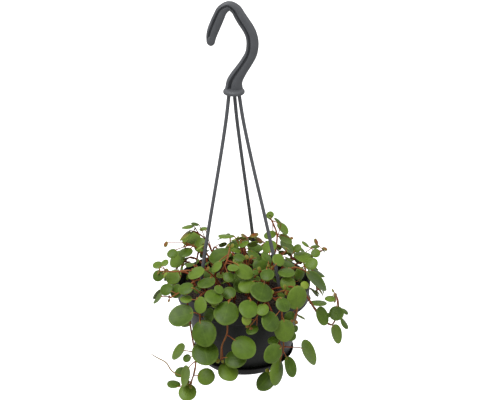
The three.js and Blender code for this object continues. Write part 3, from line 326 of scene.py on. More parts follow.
@dataclass(frozen=True)
class View:
    """The eye in front of the pot, and the sight lines along which the front of the plant is laid out.

    A sight line goes through a point of a view that is 500 points wide and 400 high. The lens is the
    eye's focal length in points of that view.
    """

    lens: float = 1650.0
    width: float = 500.0
    distance: float = 1500.0
    look_down: float = 23.2
    centre: tuple[float, float] = (250.0, 200.0)
    rim: tuple[float, float] = (243.5, 280.6)
    rightward: Point = (1.0, 0.0, 0.0)

    @property
    def forward(self) -> Point:
        """Returns the way that the eye looks."""
        angle = self.look_down * math.pi / 180
        return (0.0, math.cos(angle), -math.sin(angle))

    @property
    def upward(self) -> Point:
        """Returns the way that is up in the view."""
        angle = self.look_down * math.pi / 180
        return (0.0, math.sin(angle), math.cos(angle))

    def sight(self, x: float, y: float) -> Point:
        """Returns the sight line through a place of the view, one unit deep."""
        across = scale(self.rightward, (x - self.centre[0]) / self.lens)
        return add(self.forward, add(across, scale(self.upward, (self.centre[1] - y) / self.lens)))

    @property
    def eye(self) -> Point:
        """Returns the place of the eye, which sees the middle of the pot's rim at its measured place."""
        return sub((0.0, 0.0, POT.rim_height), scale(self.sight(*self.rim), self.distance))

    def seen(self, x: float, y: float, out: float) -> Point:
        """Finds the point at a place of the view.

        Args:
            x: Place across the view.
            y: Place down the view.
            out: Distance from the pot's axis, negative on the far side of it.

        Returns:
            The point in the pot's own millimetres.
        """
        ray = unit(self.sight(x, y))
        eye = self.eye
        a = ray[0] * ray[0] + ray[1] * ray[1]
        b = 2 * (eye[0] * ray[0] + eye[1] * ray[1])
        c = eye[0] * eye[0] + eye[1] * eye[1] - out * out
        root = b * b - 4 * a * c
        reach = -b / (2 * a) if root < 0 else (-b - sign(out) * math.sqrt(root)) / (2 * a)
        return add(eye, scale(ray, reach))


VIEW = View()


@dataclass(frozen=True)
class Looks:
    """How a leaf is coloured: how light, how young and how brown it is, from 0 to 1; on measured leaves the
    lightness is partly painted light and painted shade.
    """

    tone: float
    youth: float
    blush: float


class Tint(Enum):
    """The kinds of leaf that the plant has; on measured leaves the deep kind is painted shade and the light
    kind painted light, on drawn leaves they are only darker and lighter greens.
    """

    MATURE = Looks(0.5, 0.0, 0.0)
    # A darker green: on measured leaves it is painted shade, where the leaf lies in shade.
    DEEP = Looks(0.1, 0.0, 0.0)
    # A lighter green: on measured leaves it is painted light, where the leaf catches the light.
    LIGHT = Looks(0.9, 0.12, 0.0)
    YOUNG = Looks(0.7, 0.75, 0.05)
    BRONZE = Looks(0.4, 0.45, 0.5)
    BROWN = Looks(0.3, 0.3, 0.95)


@dataclass(slots=True)
class Leaf:
    """A leaf: its middle, where its upper face and its tip point, its sizes, its petiole's start."""

    centre: Point
    normal: Point
    along: Point
    long: float
    thickness: float
    dome: float
    start: Point
    tint: Tint

    @classmethod
    def of(cls, start: Point, centre: Point, normal: Point, along: Point, long: float, face: int = 1,
           tint: Tint = Tint.MATURE) -> "Leaf":
        """Returns a leaf with the thickness and the arch that its length gives it."""
        thickness = SMALL_BLADE_THICKNESS if long < SMALL_BLADE_LENGTH else BLADE_THICKNESS
        return cls(centre, normal, along, long, thickness, long * BLADE_DOME * face, start, tint)

    @property
    def base(self) -> Point:
        """Returns where the blade meets its petiole."""
        return sub(self.centre, scale(self.along, self.long / 2))


@dataclass(slots=True)
class Disc:
    """The room that a leaf takes up."""

    LEVEL: ClassVar[float] = 1e-4

    centre: Point
    normal: Point
    radius: float
    half: float
    dots: list[Point]
    owner: str

    @classmethod
    def of(cls, leaf: Leaf, owner: str) -> "Disc":
        """Makes the disc of a leaf, with dots on its rim and inside it.

        Args:
            leaf: The leaf.
            owner: The name of its stem.

        Returns:
            The disc.
        """
        side = cross(leaf.normal, leaf.along)
        radius = leaf.long / 2
        centre = add(leaf.centre, scale(leaf.normal, -leaf.dome / 2))
        dots = [centre]
        for i in range(RIM_DOTS):
            angle = 2 * math.pi * i / RIM_DOTS
            spoke = add(
                scale(leaf.along, radius * math.cos(angle)),
                scale(side, radius * math.sin(angle)),
            )
            dots.append(add(centre, spoke))
            dots.append(add(centre, scale(spoke, 0.5)))
        return cls(centre, leaf.normal, radius, (abs(leaf.dome) + leaf.thickness) / 2, dots, owner)

    def distance(self, point: Point) -> float:
        """Returns how far a point is from the disc."""
        offset = sub(point, self.centre)
        height = dot(offset, self.normal)
        spill = max(length(sub(offset, scale(self.normal, height))) - self.radius, 0.0)
        return math.sqrt(height * height + spill * spill)

    def crosses(self, other: "Disc") -> bool:
        """Tells whether the line where two discs' planes meet runs through both at one place.

        Args:
            other: The other disc.

        Returns:
            True where they cross.
        """
        line = cross(self.normal, other.normal)
        size = length(line)
        if size < self.LEVEL:
            return False
        way = scale(line, 1 / size)
        to = dot(sub(other.centre, self.centre), other.normal)
        in_plane = unit(flatten(other.normal, self.normal))
        reach = to / dot(in_plane, other.normal)
        foot = add(self.centre, scale(in_plane, reach))
        spans = []
        for disc in (self, other):
            middle = dot(sub(disc.centre, foot), way)
            off = length(sub(sub(disc.centre, foot), scale(way, middle)))
            rim = disc.radius + CLEAR
            if off >= rim:
                return False
            spread = math.sqrt(rim * rim - off * off)
            spans.append((middle - spread, middle + spread))
        return spans[0][0] < spans[1][1] and spans[1][0] < spans[0][1]

    def meets(self, other: "Disc") -> bool:
        """Tells whether two discs come closer than their leaves may.

        Args:
            other: The other disc.

        Returns:
            True where they are too close.
        """
        gap = self.half + other.half + CLEAR
        if length(sub(self.centre, other.centre)) > self.radius + other.radius + gap:
            return False
        return (
            self.crosses(other)
            or any(other.distance(point) < gap for point in self.dots)
            or any(self.distance(point) < gap for point in other.dots)
        )


@dataclass(slots=True)
class Rod:
    """The room that a straight stretch of a stem, petiole or rod takes up."""

    a: Point
    b: Point
    radius: float
    owner: str
    middle: Point
    reach: float

    @classmethod
    def of(cls, a: Point, b: Point, radius: float, owner: str) -> "Rod":
        """Returns the rod between two points."""
        return cls(a, b, radius, owner, mix(a, b, 0.5), length(sub(b, a)) / 2)

    def distance(self, point: Point) -> float:
        """Returns how far a point is from the rod's middle line."""
        run = sub(self.b, self.a)
        t = min(max(dot(sub(point, self.a), run) / dot(run, run), 0.0), 1.0)
        return length(sub(point, mix(self.a, self.b, t)))

    def meets_disc(self, disc: Disc) -> bool:
        """Tells whether the rod comes closer to a disc than it may.

        Args:
            disc: The disc.

        Returns:
            True where they are too close.
        """
        gap = disc.half + self.radius + CLEAR
        if length(sub(disc.centre, self.middle)) > disc.radius + self.reach + gap:
            return False
        steps = math.ceil(self.reach) + 1
        return any(disc.distance(mix(self.a, self.b, i / steps)) < gap for i in range(steps + 1))

    def meets(self, other: "Rod") -> bool:
        """Tells whether two rods come closer than they may.

        Args:
            other: The other rod.

        Returns:
            True where they are too close.
        """
        gap = self.radius + other.radius + CLEAR
        if length(sub(self.middle, other.middle)) > self.reach + other.reach + gap:
            return False
        steps = math.ceil(self.reach * 2) + 1
        return any(other.distance(mix(self.a, self.b, i / steps)) < gap for i in range(steps + 1))


class Register:
    """A growing list of discs or rods that finds the ones near a place quickly."""

    MOST = 1200
    SPARE = 1.0

    def __init__(self) -> None:
        """Starts an empty list."""
        self.items: list[Disc | Rod] = []
        self.centres = np.zeros((self.MOST, 3))
        self.reaches = np.zeros(self.MOST)

    def keep(self, item: Disc | Rod, centre: Point, reach: float) -> None:
        """Adds an item.

        Args:
            item: A disc or rod.
            centre: Its middle.
            reach: How far from its middle it reaches.
        """
        count = len(self.items)
        self.centres[count] = centre
        self.reaches[count] = reach
        self.items.append(item)

    def near(self, centre: Point, reach: float) -> list[Disc | Rod]:
        """Finds the items that could touch a ball.

        Args:
            centre: The ball's middle.
            reach: Its radius.

        Returns:
            The items, found with some room to spare.
        """
        count = len(self.items)
        apart = self.centres[:count] - centre
        limit = self.reaches[:count] + (reach + self.SPARE)
        found = np.nonzero((apart * apart).sum(axis=1) < limit * limit)[0]
        return [self.items[i] for i in found]


@dataclass(slots=True)
class Stem:
    """A leafy stem as planned: its row of points, and the leaves, petioles and spikes on it."""

    name: str
    row: list[Point]
    radius: float
    rods: list[Rod]
    leaves: list[Leaf] = field(default_factory=list)
    petioles: list[Rod] = field(default_factory=list)
    spikes: list[list[Point]] = field(default_factory=list)

    @classmethod
    def laid(cls, name: str, points: Sequence[Point], radius: float) -> "Stem":
        """Lays a stem along a row of points.

        Args:
            name: The stem's name.
            points: Its root in the soil and the points that it passes.
            radius: Its thickness.

        Returns:
            The bare stem.
        """
        fine = smooth(points[1:], 8)
        run = 0.0
        for i in range(1, len(fine)):
            run += length(sub(fine[i], fine[i - 1]))
        row = [points[0], *spaced(fine, max(3, math.floor(run / STEM_STEP + 0.5)))]
        rods = [Rod.of(row[i], row[i + 1], radius, name) for i in range(len(row) - 1)]
        return cls(name, row, radius, rods)


@dataclass(frozen=True)
class SeenLeaf:
    """A leaf as it shows in the view, with its length in millimetres.

    Its lean is in degrees from the level, out is its distance from the pot's axis, negative on the far
    side, and face is -1 where its underside shows.
    """

    x: float
    y: float
    long: float
    broad: float
    lean: float
    out: float
    tint: Tint = Tint.MATURE
    face: int = 1


@dataclass(frozen=True)
class FrontStem:
    """A stem at the front: its root (turn and radius), its route and spikes in the view, its leaves."""

    name: str
    root: tuple[float, float]
    route: tuple[Point, ...]
    leaves: tuple[SeenLeaf, ...]
    spikes: tuple[tuple[Point, ...], ...] = ()


# Measured leaves with the deep tint are darkened as painted shade, and those with the light tint are
# lightened as painted light.
FRONT_STEMS = (
    FrontStem(
        "stem_front_left", root=(-50, 30),
        route=((204, 292, 57), (199, 298, 66), (199, 308, 67), (201, 328, 68), (200, 348, 67)),
        leaves=(
            SeenLeaf(185.5, 287.7, 14.2, 10.3, 28, 67), SeenLeaf(186.2, 298.2, 12.4, 8.2, 5, 70),
            SeenLeaf(199.4, 304.8, 15.2, 11.2, 80, 72), SeenLeaf(192.5, 305, 7, 6, 0, 76, Tint.DEEP),
            SeenLeaf(182, 316.5, 23, 19, 38, 74, Tint.DEEP, -1), SeenLeaf(203.5, 333, 23.5, 22.5, 80, 77),
            SeenLeaf(205.2, 351.6, 25, 21.5, 0, 71, Tint.DEEP),
        ),
    ),
    FrontStem(
        "stem_foot_left", root=(-60, 36),
        route=(
            (190, 286, 57), (187, 296, 66), (191, 330, 68), (196, 360, 70), (194, 374, 72), (190, 384, 73),
        ),
        leaves=(
            SeenLeaf(179.6, 352.4, 18, 8, 58, 72, Tint.LIGHT, -1), SeenLeaf(186.6, 358, 8, 7, 60, 74),
            SeenLeaf(187, 376, 19.5, 8, 85, 76, Tint.LIGHT, -1), SeenLeaf(180, 371.5, 12, 8.5, 35, 73),
            SeenLeaf(173.6, 383, 13, 7.5, 0, 74), SeenLeaf(187.5, 391.5, 17, 15.5, 0, 74),
            SeenLeaf(205.4, 376.3, 16.5, 15.3, 60, 72, Tint.LIGHT),
        ),
        spikes=(
            ((190, 378, 73), (174, 373, 74), (169, 366, 76), (163, 360, 80), (155, 357, 86), (151, 354, 90)),
        ),
    ),
    FrontStem(
        "stem_front_middle", root=(-14, 33),
        route=((231, 299, 57), (227, 306, 65), (227, 334, 66), (222, 345, 67), (221, 360, 67)),
        leaves=(
            SeenLeaf(226.2, 311.8, 23.4, 20.3, 0, 73, Tint.DEEP), SeenLeaf(243.7, 346.9, 22, 21.3, 0, 76),
            SeenLeaf(235, 358, 19.5, 16.5, 20, 70, Tint.DEEP),
            SeenLeaf(228.4, 370.9, 19, 16.2, -15, 72, Tint.LIGHT),
        ),
    ),
    FrontStem(
        "stem_front_centre", root=(8, 36),
        route=((250, 299, 57), (255, 307, 65), (259, 318, 66), (250, 326, 66)),
        leaves=(
            SeenLeaf(248.8, 307.8, 18.2, 15.2, -20, 70),
            SeenLeaf(247.2, 319.7, 10.5, 8.5, 90, 73, Tint.YOUNG),
            SeenLeaf(236.8, 300, 8.5, 8, 0, 68, Tint.DEEP), SeenLeaf(252, 329, 11.5, 8, 20, 68),
        ),
    ),
    FrontStem(
        "stem_front_right", root=(32, 34),
        route=((272, 297, 57), (280, 304, 65), (282, 322, 66), (280, 340, 67), (277, 350, 67)),
        leaves=(
            SeenLeaf(283.6, 304, 18.8, 16, -35, 72), SeenLeaf(271.5, 321, 19, 15, -65, 74, Tint.DEEP),
            SeenLeaf(285.3, 330.6, 19.8, 18.5, 70, 75, Tint.LIGHT), SeenLeaf(291, 336, 9.5, 9.5, 0, 71),
            SeenLeaf(273.3, 340, 10.3, 8, 0, 76), SeenLeaf(282, 340.7, 8, 7, 0, 76, Tint.BRONZE),
            SeenLeaf(274, 354, 18.8, 15.3, 62, 71),
        ),
    ),
    FrontStem(
        "stem_low_right", root=(20, 38),
        route=(
            (264, 299, 57), (270, 306, 64), (276, 325, 64), (284, 344, 66), (281, 357, 68), (275, 366, 70),
            (270, 371, 70),
        ),
        leaves=(
            SeenLeaf(278.8, 372.3, 23.8, 12, 83, 75, Tint.LIGHT), SeenLeaf(265, 380.6, 19, 16.3, 52, 72),
            SeenLeaf(288.8, 367, 19, 10.7, -76, 72, face=-1),
            SeenLeaf(307, 353.2, 25.5, 10.5, -69, 72, Tint.LIGHT, -1),
        ),
    ),
    FrontStem(
        "stem_wing_right", root=(62, 36),
        route=(
            (298, 286, 58), (306, 295, 66), (314, 308, 71), (324, 321, 76), (333, 324, 82), (338, 312, 86),
            (338, 300, 87), (334.5, 293, 88),
        ),
        leaves=(
            SeenLeaf(318, 301.6, 16.6, 5, -4, 72, Tint.LIGHT),
            SeenLeaf(330, 298, 10, 5.5, -5, 86, Tint.LIGHT),
            SeenLeaf(320.8, 316.2, 18, 10.7, -78, 76, face=-1), SeenLeaf(336.5, 312.7, 14.3, 13.3, 0, 88),
            SeenLeaf(345.3, 311, 8, 3.5, -45, 92), SeenLeaf(345, 323, 12, 4.5, -60, 92),
            SeenLeaf(335.2, 334, 18, 9.8, -80, 86, Tint.LIGHT, -1), SeenLeaf(328, 315, 5.5, 4.5, 0, 80),
        ),
    ),
    FrontStem(
        "stem_shoulder_right", root=(50, 28),
        route=((292, 287, 57), (297, 296, 65), (298, 308, 67), (294, 320, 67)),
        leaves=(
            SeenLeaf(298, 298.6, 21.3, 17.3, 60, 72, Tint.LIGHT),
            SeenLeaf(287.8, 283.5, 14, 14, 0, 62, Tint.LIGHT),
            SeenLeaf(305, 285, 8, 7, -45, 68, Tint.YOUNG), SeenLeaf(290, 317, 10.5, 9, 45, 70),
            SeenLeaf(295.5, 329, 7, 5.5, 60, 67),
        ),
    ),
    FrontStem(
        "stem_upper_right", root=(76, 38),
        route=((289, 268, 46), (298, 268, 54), (309, 273, 63)),
        leaves=(
            SeenLeaf(314.9, 281.8, 24, 9.6, -46, 70, face=-1), SeenLeaf(300.5, 274, 12.5, 9, 75, 58),
            SeenLeaf(286.5, 271.2, 16, 8, -3, 48), SeenLeaf(289, 264, 13.5, 6.5, -20, 44),
            SeenLeaf(311, 263.5, 12.5, 11, 30, -62, Tint.LIGHT),
        ),
    ),
    FrontStem(
        "stem_far_right", root=(112, 40),
        route=((287, 260, -46), (296, 259, -54), (305, 258, -62), (315, 255, -70), (323, 250, -78)),
        leaves=(
            SeenLeaf(304, 255.5, 18.5, 10, -15, -60, Tint.LIGHT),
            SeenLeaf(315.7, 252.8, 9, 8.5, 0, -70, Tint.LIGHT), SeenLeaf(315, 246, 9, 3.5, 5, -72),
            SeenLeaf(305.8, 243.7, 8.5, 3, -38, -66), SeenLeaf(297, 248, 8.5, 7.5, 45, -58, Tint.LIGHT),
        ),
    ),
    FrontStem(
        "stem_top_right", root=(118, 26),
        route=((274, 256, -30), (277, 242, -36), (276, 228, -39), (271, 219, -41)),
        leaves=(
            SeenLeaf(269.8, 214.6, 8, 6.5, 25, -41, Tint.LIGHT),
            SeenLeaf(282, 229, 13.5, 7.5, -48, -44, Tint.LIGHT, -1), SeenLeaf(278, 220, 8, 2.5, -38, -42),
            SeenLeaf(269.7, 234, 12, 7.5, 15, -34), SeenLeaf(285, 240, 14, 7.5, -35, -46, Tint.LIGHT, -1),
            SeenLeaf(286.7, 247.8, 18.5, 8.5, -45, -50, Tint.LIGHT, -1),
        ),
    ),
    FrontStem(
        "stem_heart_left", root=(-24, 18),
        route=((222, 278, 30), (221, 270, 28), (226, 263, 26), (230, 255, 22), (230, 247, 18)),
        leaves=(
            SeenLeaf(244.5, 270.5, 17.5, 13.5, -25, 34, Tint.LIGHT),
            SeenLeaf(233, 267, 10.5, 6, 0, 36, Tint.LIGHT), SeenLeaf(239, 257, 10.5, 8, 0, 20),
            SeenLeaf(219.5, 254, 22.5, 12.5, 22, 16), SeenLeaf(228.4, 276.7, 10.5, 9.5, 0, 40, Tint.DEEP),
            SeenLeaf(216, 266, 12.5, 7, 50, 36, Tint.LIGHT),
        ),
    ),
    FrontStem(
        "stem_heart_top", root=(160, 14),
        route=((246, 262, -8), (246, 254, -14), (243, 246, -22), (243, 240, -28)),
        leaves=(
            SeenLeaf(232.5, 244.8, 15.5, 9, 35, -26, Tint.LIGHT), SeenLeaf(255, 246, 14.5, 8, -12, -22),
            SeenLeaf(253.3, 257, 15.5, 7.5, -40, -10, face=-1),
            SeenLeaf(226.7, 235, 15.5, 3.5, 0, -34, Tint.LIGHT),
            SeenLeaf(243, 241, 9, 5.5, 20, -36, Tint.LIGHT),
            SeenLeaf(246, 237, 11, 3, -45, -30, Tint.BROWN),
        ),
    ),
    FrontStem(
        "stem_upper_left", root=(-118, 38),
        route=((207, 256, -42), (200, 250, -48), (192, 245, -54), (186, 243, -58)),
        leaves=(
            SeenLeaf(191, 238, 18.5, 13, 15, -56, Tint.LIGHT),
            SeenLeaf(199.7, 244.8, 14, 12, 60, -48, Tint.LIGHT), SeenLeaf(185.3, 251.3, 14, 8.5, 12, -58),
            SeenLeaf(176.4, 258.6, 17.4, 12.8, 60, -66), SeenLeaf(172, 253, 10, 8.5, 20, -70),
        ),
    ),
    FrontStem(
        "stem_top_left", root=(-140, 30),
        route=((210, 248, -44), (206, 240, -50), (201, 234, -54), (194, 231, -58)),
        leaves=(
            SeenLeaf(187.5, 226, 12, 3, 10, -60, Tint.LIGHT),
            SeenLeaf(195, 223.5, 7.5, 3, -15, -58, Tint.DEEP),
            SeenLeaf(203.5, 228.3, 8.5, 3.5, 10, -54, Tint.LIGHT),
            SeenLeaf(184.5, 235, 13, 3.5, 42, -62, Tint.BRONZE),
        ),
    ),
    FrontStem(
        "stem_wing_left", root=(-100, 41),
        route=((193, 271, 54), (186, 271, 60), (178, 272, 66), (169, 271, 72), (160, 271, 78)),
        leaves=(
            SeenLeaf(157.6, 264.3, 10, 6.5, 15, -80, Tint.LIGHT),
            SeenLeaf(157.8, 275.7, 10.8, 9.8, 80, 80), SeenLeaf(173.1, 276.2, 15.8, 12.4, 45, 66),
            SeenLeaf(195.4, 271.8, 16.5, 9.2, 30, 56),
        ),
    ),
    FrontStem(
        "stem_drop_left", root=(-76, 34),
        route=((197, 280, 54), (189, 286, 60), (180, 292, 66), (170, 298, 72)),
        leaves=(
            SeenLeaf(166, 289, 12.5, 10, 45, 72), SeenLeaf(175.5, 291, 13.5, 10, 75, 68),
            SeenLeaf(158.7, 299, 12.5, 3.5, 55, 80, face=-1), SeenLeaf(190, 264, 9, 3.5, 10, 54),
        ),
    ),
    FrontStem(
        "stem_front_left_top", root=(-34, 25),
        route=((216, 287, 46), (213, 290, 54), (214, 294, 60)),
        leaves=(
            SeenLeaf(206, 281.3, 16.5, 9, 12, 58), SeenLeaf(214, 295.6, 17.4, 12.4, -10, 66),
            SeenLeaf(219.4, 289, 9.5, 7, -30, 62), SeenLeaf(215.4, 304.5, 8, 4.5, 0, 69, Tint.YOUNG),
        ),
    ),
    FrontStem(
        "stem_heart_right", root=(28, 20),
        route=((262, 282, 34), (266, 276, 36), (270, 268, 34)),
        leaves=(
            SeenLeaf(262.3, 290.6, 22.3, 15.6, -28, 58), SeenLeaf(267, 274, 13, 10.5, 10, 42),
            SeenLeaf(279, 259.5, 12.5, 10, -45, 40), SeenLeaf(267.5, 257, 12.5, 6.5, -45, 26),
            SeenLeaf(247, 285, 16, 13, 0, 48, Tint.LIGHT),
            SeenLeaf(269, 246, 14.5, 11, 30, -28, Tint.LIGHT),
        ),
    ),
)


# Small leaves that only the finished plant has.
# Their deep and light tints are painted shade and painted light, as on the measured leaves.
LATE_LEAVES = {
    "stem_front_left": (SeenLeaf(208, 315, 14, 9.5, 80, 65, Tint.DEEP),),
    "stem_foot_left": (SeenLeaf(173.8, 383.2, 12.8, 7.3, 0, 73),),
    "stem_front_middle": (SeenLeaf(229, 292.5, 12.5, 11, 20, 53, Tint.DEEP),),
    "stem_low_right": (SeenLeaf(262.2, 309, 12.2, 10.3, 10, 71, Tint.LIGHT),),
    "stem_heart_right": (SeenLeaf(254.5, 279.5, 11.5, 9.5, 0, 31),),
    "stem_heart_left": (SeenLeaf(220.5, 274.5, 8.5, 5.5, 10, 31, Tint.YOUNG),),
    "stem_heart_top": (
        SeenLeaf(254, 234.5, 8.5, 4.5, 15, -33, Tint.BROWN),
        SeenLeaf(236, 240, 9, 2.5, 70, -30, Tint.BROWN),
    ),
    "stem_mound_2_4": (SeenLeaf(259.5, 240, 8, 5, -40, -38, Tint.BROWN),),
    "stem_mound_1_3": (
        SeenLeaf(243.3, 243.3, 10, 5.5, 25, -13, Tint.LIGHT),
        SeenLeaf(236.5, 250, 8.5, 4.5, -15, -12, Tint.LIGHT),
    ),
    "stem_front_right": (SeenLeaf(276.7, 348, 8, 7, 0, 67, Tint.LIGHT),),
    "stem_wing_left": (SeenLeaf(164.5, 262.5, 7.5, 5.5, 30, 75, Tint.LIGHT),),
    "stem_far_right": (
        SeenLeaf(316.5, 241.5, 6.5, 3.5, -70, -74, Tint.BROWN),
        SeenLeaf(325, 248.5, 5.5, 3, -30, -80, Tint.BROWN),
    ),
    "stem_upper_left": (SeenLeaf(165.5, 244, 6, 3.5, 70, -75, Tint.BROWN),),
    "stem_wing_right": (SeenLeaf(336, 298, 9, 3, 80, 88, Tint.BROWN),),
    "stem_top_right": (SeenLeaf(291.6, 238, 3.5, 2.5, 0, -48, Tint.BROWN),),
}


# From the pot's own millimetres to the shared frame's metres.
TO_FRAME = Matrix.Scale(0.001, 4) @ Matrix.Translation(-Vector(SEAT))

HANGER_ROD_RADIUS = 1.6
CROWN_OFFSET = (4.5, 0.0, -73.8)
ROD_SPREAD = 4.2
ROD_ROOT_TURNS = (-72, 72, 180)
ROD_BOW = (0.25, 0.82)
FOOT_RADIUS = 44.6
FOOT_SIZE = (8.0, 2.4, 9.0)
FOOT_BOTTOM = 50.0
FOOT_TOP = FOOT_BOTTOM + FOOT_SIZE[2]
SOCKET_WALL = 1.5
SOCKET_DEPTH = 6.0


def rod_route(turn: float, steps: int) -> list[Point]:
    """Lays one rod of the hanger: it leaves the crown steeply, spreads, and ends upright.

    Args:
        turn: The turn of its foot in degrees.
        steps: How many stretches it has.

    Returns:
        The points from the crown down to its foot.
    """
    root_turn = ROD_ROOT_TURNS[ROD_TURNS.index(turn)]
    top = add(add(SEAT, CROWN_OFFSET), around(root_turn, ROD_SPREAD, 0))
    end = around(turn, FOOT_RADIUS, FOOT_TOP - 2)
    route = []
    for i in range(steps + 1):
        t = i / steps
        spread = 3 * ROD_BOW[0] * t * (1 - t) * (1 - t) + 3 * ROD_BOW[1] * t * t * (1 - t) + t * t * t
        level = mix(top, end, spread)
        route.append((level[0], level[1], top[2] + (end[2] - top[2]) * t))
    return route


def ring_frame(point: Point, way: Vector, side: Vector, radius: float) -> Matrix:
    """Builds the matrix that sets a flat section on a path.

    Args:
        point: Where the section's middle goes.
        way: The way that the path runs there.
        side: Where the section's first axis points, before it is set square to the path.
        radius: How much the section grows.

    Returns:
        A matrix from the section's plane to its place.
    """
    along = way.normalized()
    first = (side - along * side.dot(along)).normalized()
    second = along.cross(first)
    turn = Matrix((first, second, along)).transposed().to_4x4()
    return Matrix.Translation(point) @ turn @ Matrix.Scale(radius, 4)


def path_frames(path: Sequence[Point], radii: Sequence[float]) -> list[Matrix]:
    """Sets a ring on each point of a path, without twist.

    Args:
        path: The points of the path.
        radii: The size of the ring at each point.

    Returns:
        One matrix for each ring.
    """
    points = [Vector(point) for point in path]
    last = len(points) - 1
    ways = [points[min(i + 1, last)] - points[max(i - 1, 0)] for i in range(last + 1)]
    side = ways[0].orthogonal()
    frames = []
    for point, way, radius in zip(points, ways, radii):
        frames.append(ring_frame(point, way, side, radius))
        side = frames[-1].to_3x3() @ Vector((1, 0, 0))
    return frames


def sweep(bm: Shell, section: Sequence[Point], frames: Sequence[Matrix]) -> list:
    """Extrudes a flat closed section along a row of rings, into a capped bar.

    Args:
        bm: The mesh that it goes into.
        section: The section's corners, in its own plane.
        frames: The matrices of its rings.

    Returns:
        The rings' vertices, in order.
    """
    corners = [bm.verts.new(frames[0] @ Vector(corner)) for corner in section]
    face = bm.faces.new(corners)
    rings = [corners]
    for before, after in zip(frames, frames[1:]):
        made = bmesh.ops.extrude_face_region(bm, geom=[face])["geom"]
        if len(rings) > 1:
            bmesh.ops.delete(bm, geom=[face], context="FACES_ONLY")
        face = next(item for item in made if isinstance(item, bmesh.types.BMFace))
        ring = list(face.verts)
        bmesh.ops.transform(bm, matrix=after @ before.inverted(), verts=ring)
        rings.append(ring)
    return rings


def circle(sides: int) -> list[Point]:
    """Returns the corners of a round section of radius one."""
    angles = [2 * math.pi * i / sides for i in range(sides)]
    return [(math.cos(angle), math.sin(angle), 0.0) for angle in angles]


def turned(profile: Sequence[tuple[float, float]], sides: int) -> Shell:
    """Spins a profile about the pot's axis.

    Args:
        profile: Corners as radius and height, closed on itself unless both ends are on the axis.
        sides: How many steps the full turn has.

    Returns:
        The closed shell, facing outwards.
    """
    bm = bmesh.new()
    row = [bm.verts.new((radius, 0.0, height)) for radius, height in profile]
    for a, b in zip(row, row[1:]):
        bm.edges.new((a, b))
    if profile[0][0] > 0:
        bm.edges.new((row[-1], row[0]))
    bmesh.ops.spin(
        bm, geom=bm.verts[:] + bm.edges[:], cent=(0, 0, 0), axis=(0, 0, 1), angle=2 * math.pi,
        steps=sides, use_merge=True,
    )
    bmesh.ops.remove_doubles(bm, verts=bm.verts[:], dist=1e-4)
    bmesh.ops.recalc_face_normals(bm, faces=bm.faces[:])
    return bm


def block(turn: float, inner: float, outer: float, width: float, bottom: float, top: float,
          edge: float = 0.0) -> Shell:
    """Builds a block that stands at a turn round the pot.

    Args:
        turn: Its turn in degrees.
        inner: Its inner distance from the axis.
        outer: Its outer distance from the axis.
        width: Its width.
        bottom: The height of its underside.
        top: The height of its top.
        edge: How far its edges are rounded.

    Returns:
        The block.
    """
    bm = bmesh.new()
    bmesh.ops.create_cube(bm, size=1.0)
    bmesh.ops.scale(bm, vec=(width, outer - inner, top - bottom), verts=bm.verts[:])
    bmesh.ops.translate(bm, vec=(0, -(inner + outer) / 2, (top + bottom) / 2), verts=bm.verts[:])
    if edge > 0:
        bmesh.ops.bevel(
            bm, geom=bm.edges[:], offset=edge, segments=2, profile=0.5, affect="EDGES", material=-1,
        )
    spin = Matrix.Rotation(math.radians(turn), 3, "Z")
    bmesh.ops.rotate(bm, cent=(0, 0, 0), matrix=spin, verts=bm.verts[:])
    return bm


def round_post(centre: Point, radius: float, bottom: float, top: float, sides: int) -> Shell:
    """Builds an upright round post.

    Args:
        centre: A point on its axis.
        radius: Its radius.
        bottom: The height of its foot.
        top: The height of its top.
        sides: How many sides it has.

    Returns:
        The post.
    """
    bm = bmesh.new()
    bmesh.ops.create_cone(
        bm, cap_ends=True, segments=sides, radius1=radius, radius2=radius, depth=top - bottom,
    )
    bmesh.ops.translate(bm, vec=(centre[0], centre[1], (top + bottom) / 2), verts=bm.verts[:])
    return bm


class Join(Enum):
    """How one closed shell is worked into another."""

    UNION = "UNION"
    CUT = "DIFFERENCE"


def mesh_of(name: str, bm: Shell) -> bpy.types.Mesh:
    """Turns a bmesh into a mesh, and frees it.

    Args:
        name: The mesh's name.
        bm: The bmesh.

    Returns:
        The mesh.
    """
    mesh = bpy.data.meshes.new(name)
    bm.to_mesh(mesh)
    bm.free()
    return mesh


def linked(name: str, data: bpy.types.ID) -> Piece:
    """Makes an object of a mesh, a light or a camera, linked to the scene.

    Args:
        name: The object's name.
        data: What it shows.

    Returns:
        The object.
    """
    thing = bpy.data.objects.new(name, data)
    bpy.context.scene.collection.objects.link(thing)
    return thing


def combined(base: Shell, parts: Sequence[tuple[Join, Shell]]) -> Shell:
    """Works closed shells into a first one, by booleans.

    Args:
        base: The first shell.
        parts: The others, each with how it is worked in.

    Returns:
        The result as one shell.
    """
    shells = [base, *(part for _, part in parts)]
    holders = [linked("working", mesh_of("working", shell)) for shell in shells]
    for (join, _), holder in zip(parts, holders[1:]):
        step = holders[0].modifiers.new(join.name, "BOOLEAN")
        step.operation = join.value
        step.solver = "MANIFOLD"
        step.object = holder
    bpy.context.view_layer.update()
    graph = bpy.context.evaluated_depsgraph_get()
    mesh = bpy.data.meshes.new_from_object(holders[0].evaluated_get(graph))
    result = bmesh.new()
    result.from_mesh(mesh)
    bpy.data.meshes.remove(mesh)
    for holder in holders:
        data = holder.data
        bpy.data.objects.remove(holder)
        bpy.data.meshes.remove(data)
    return result


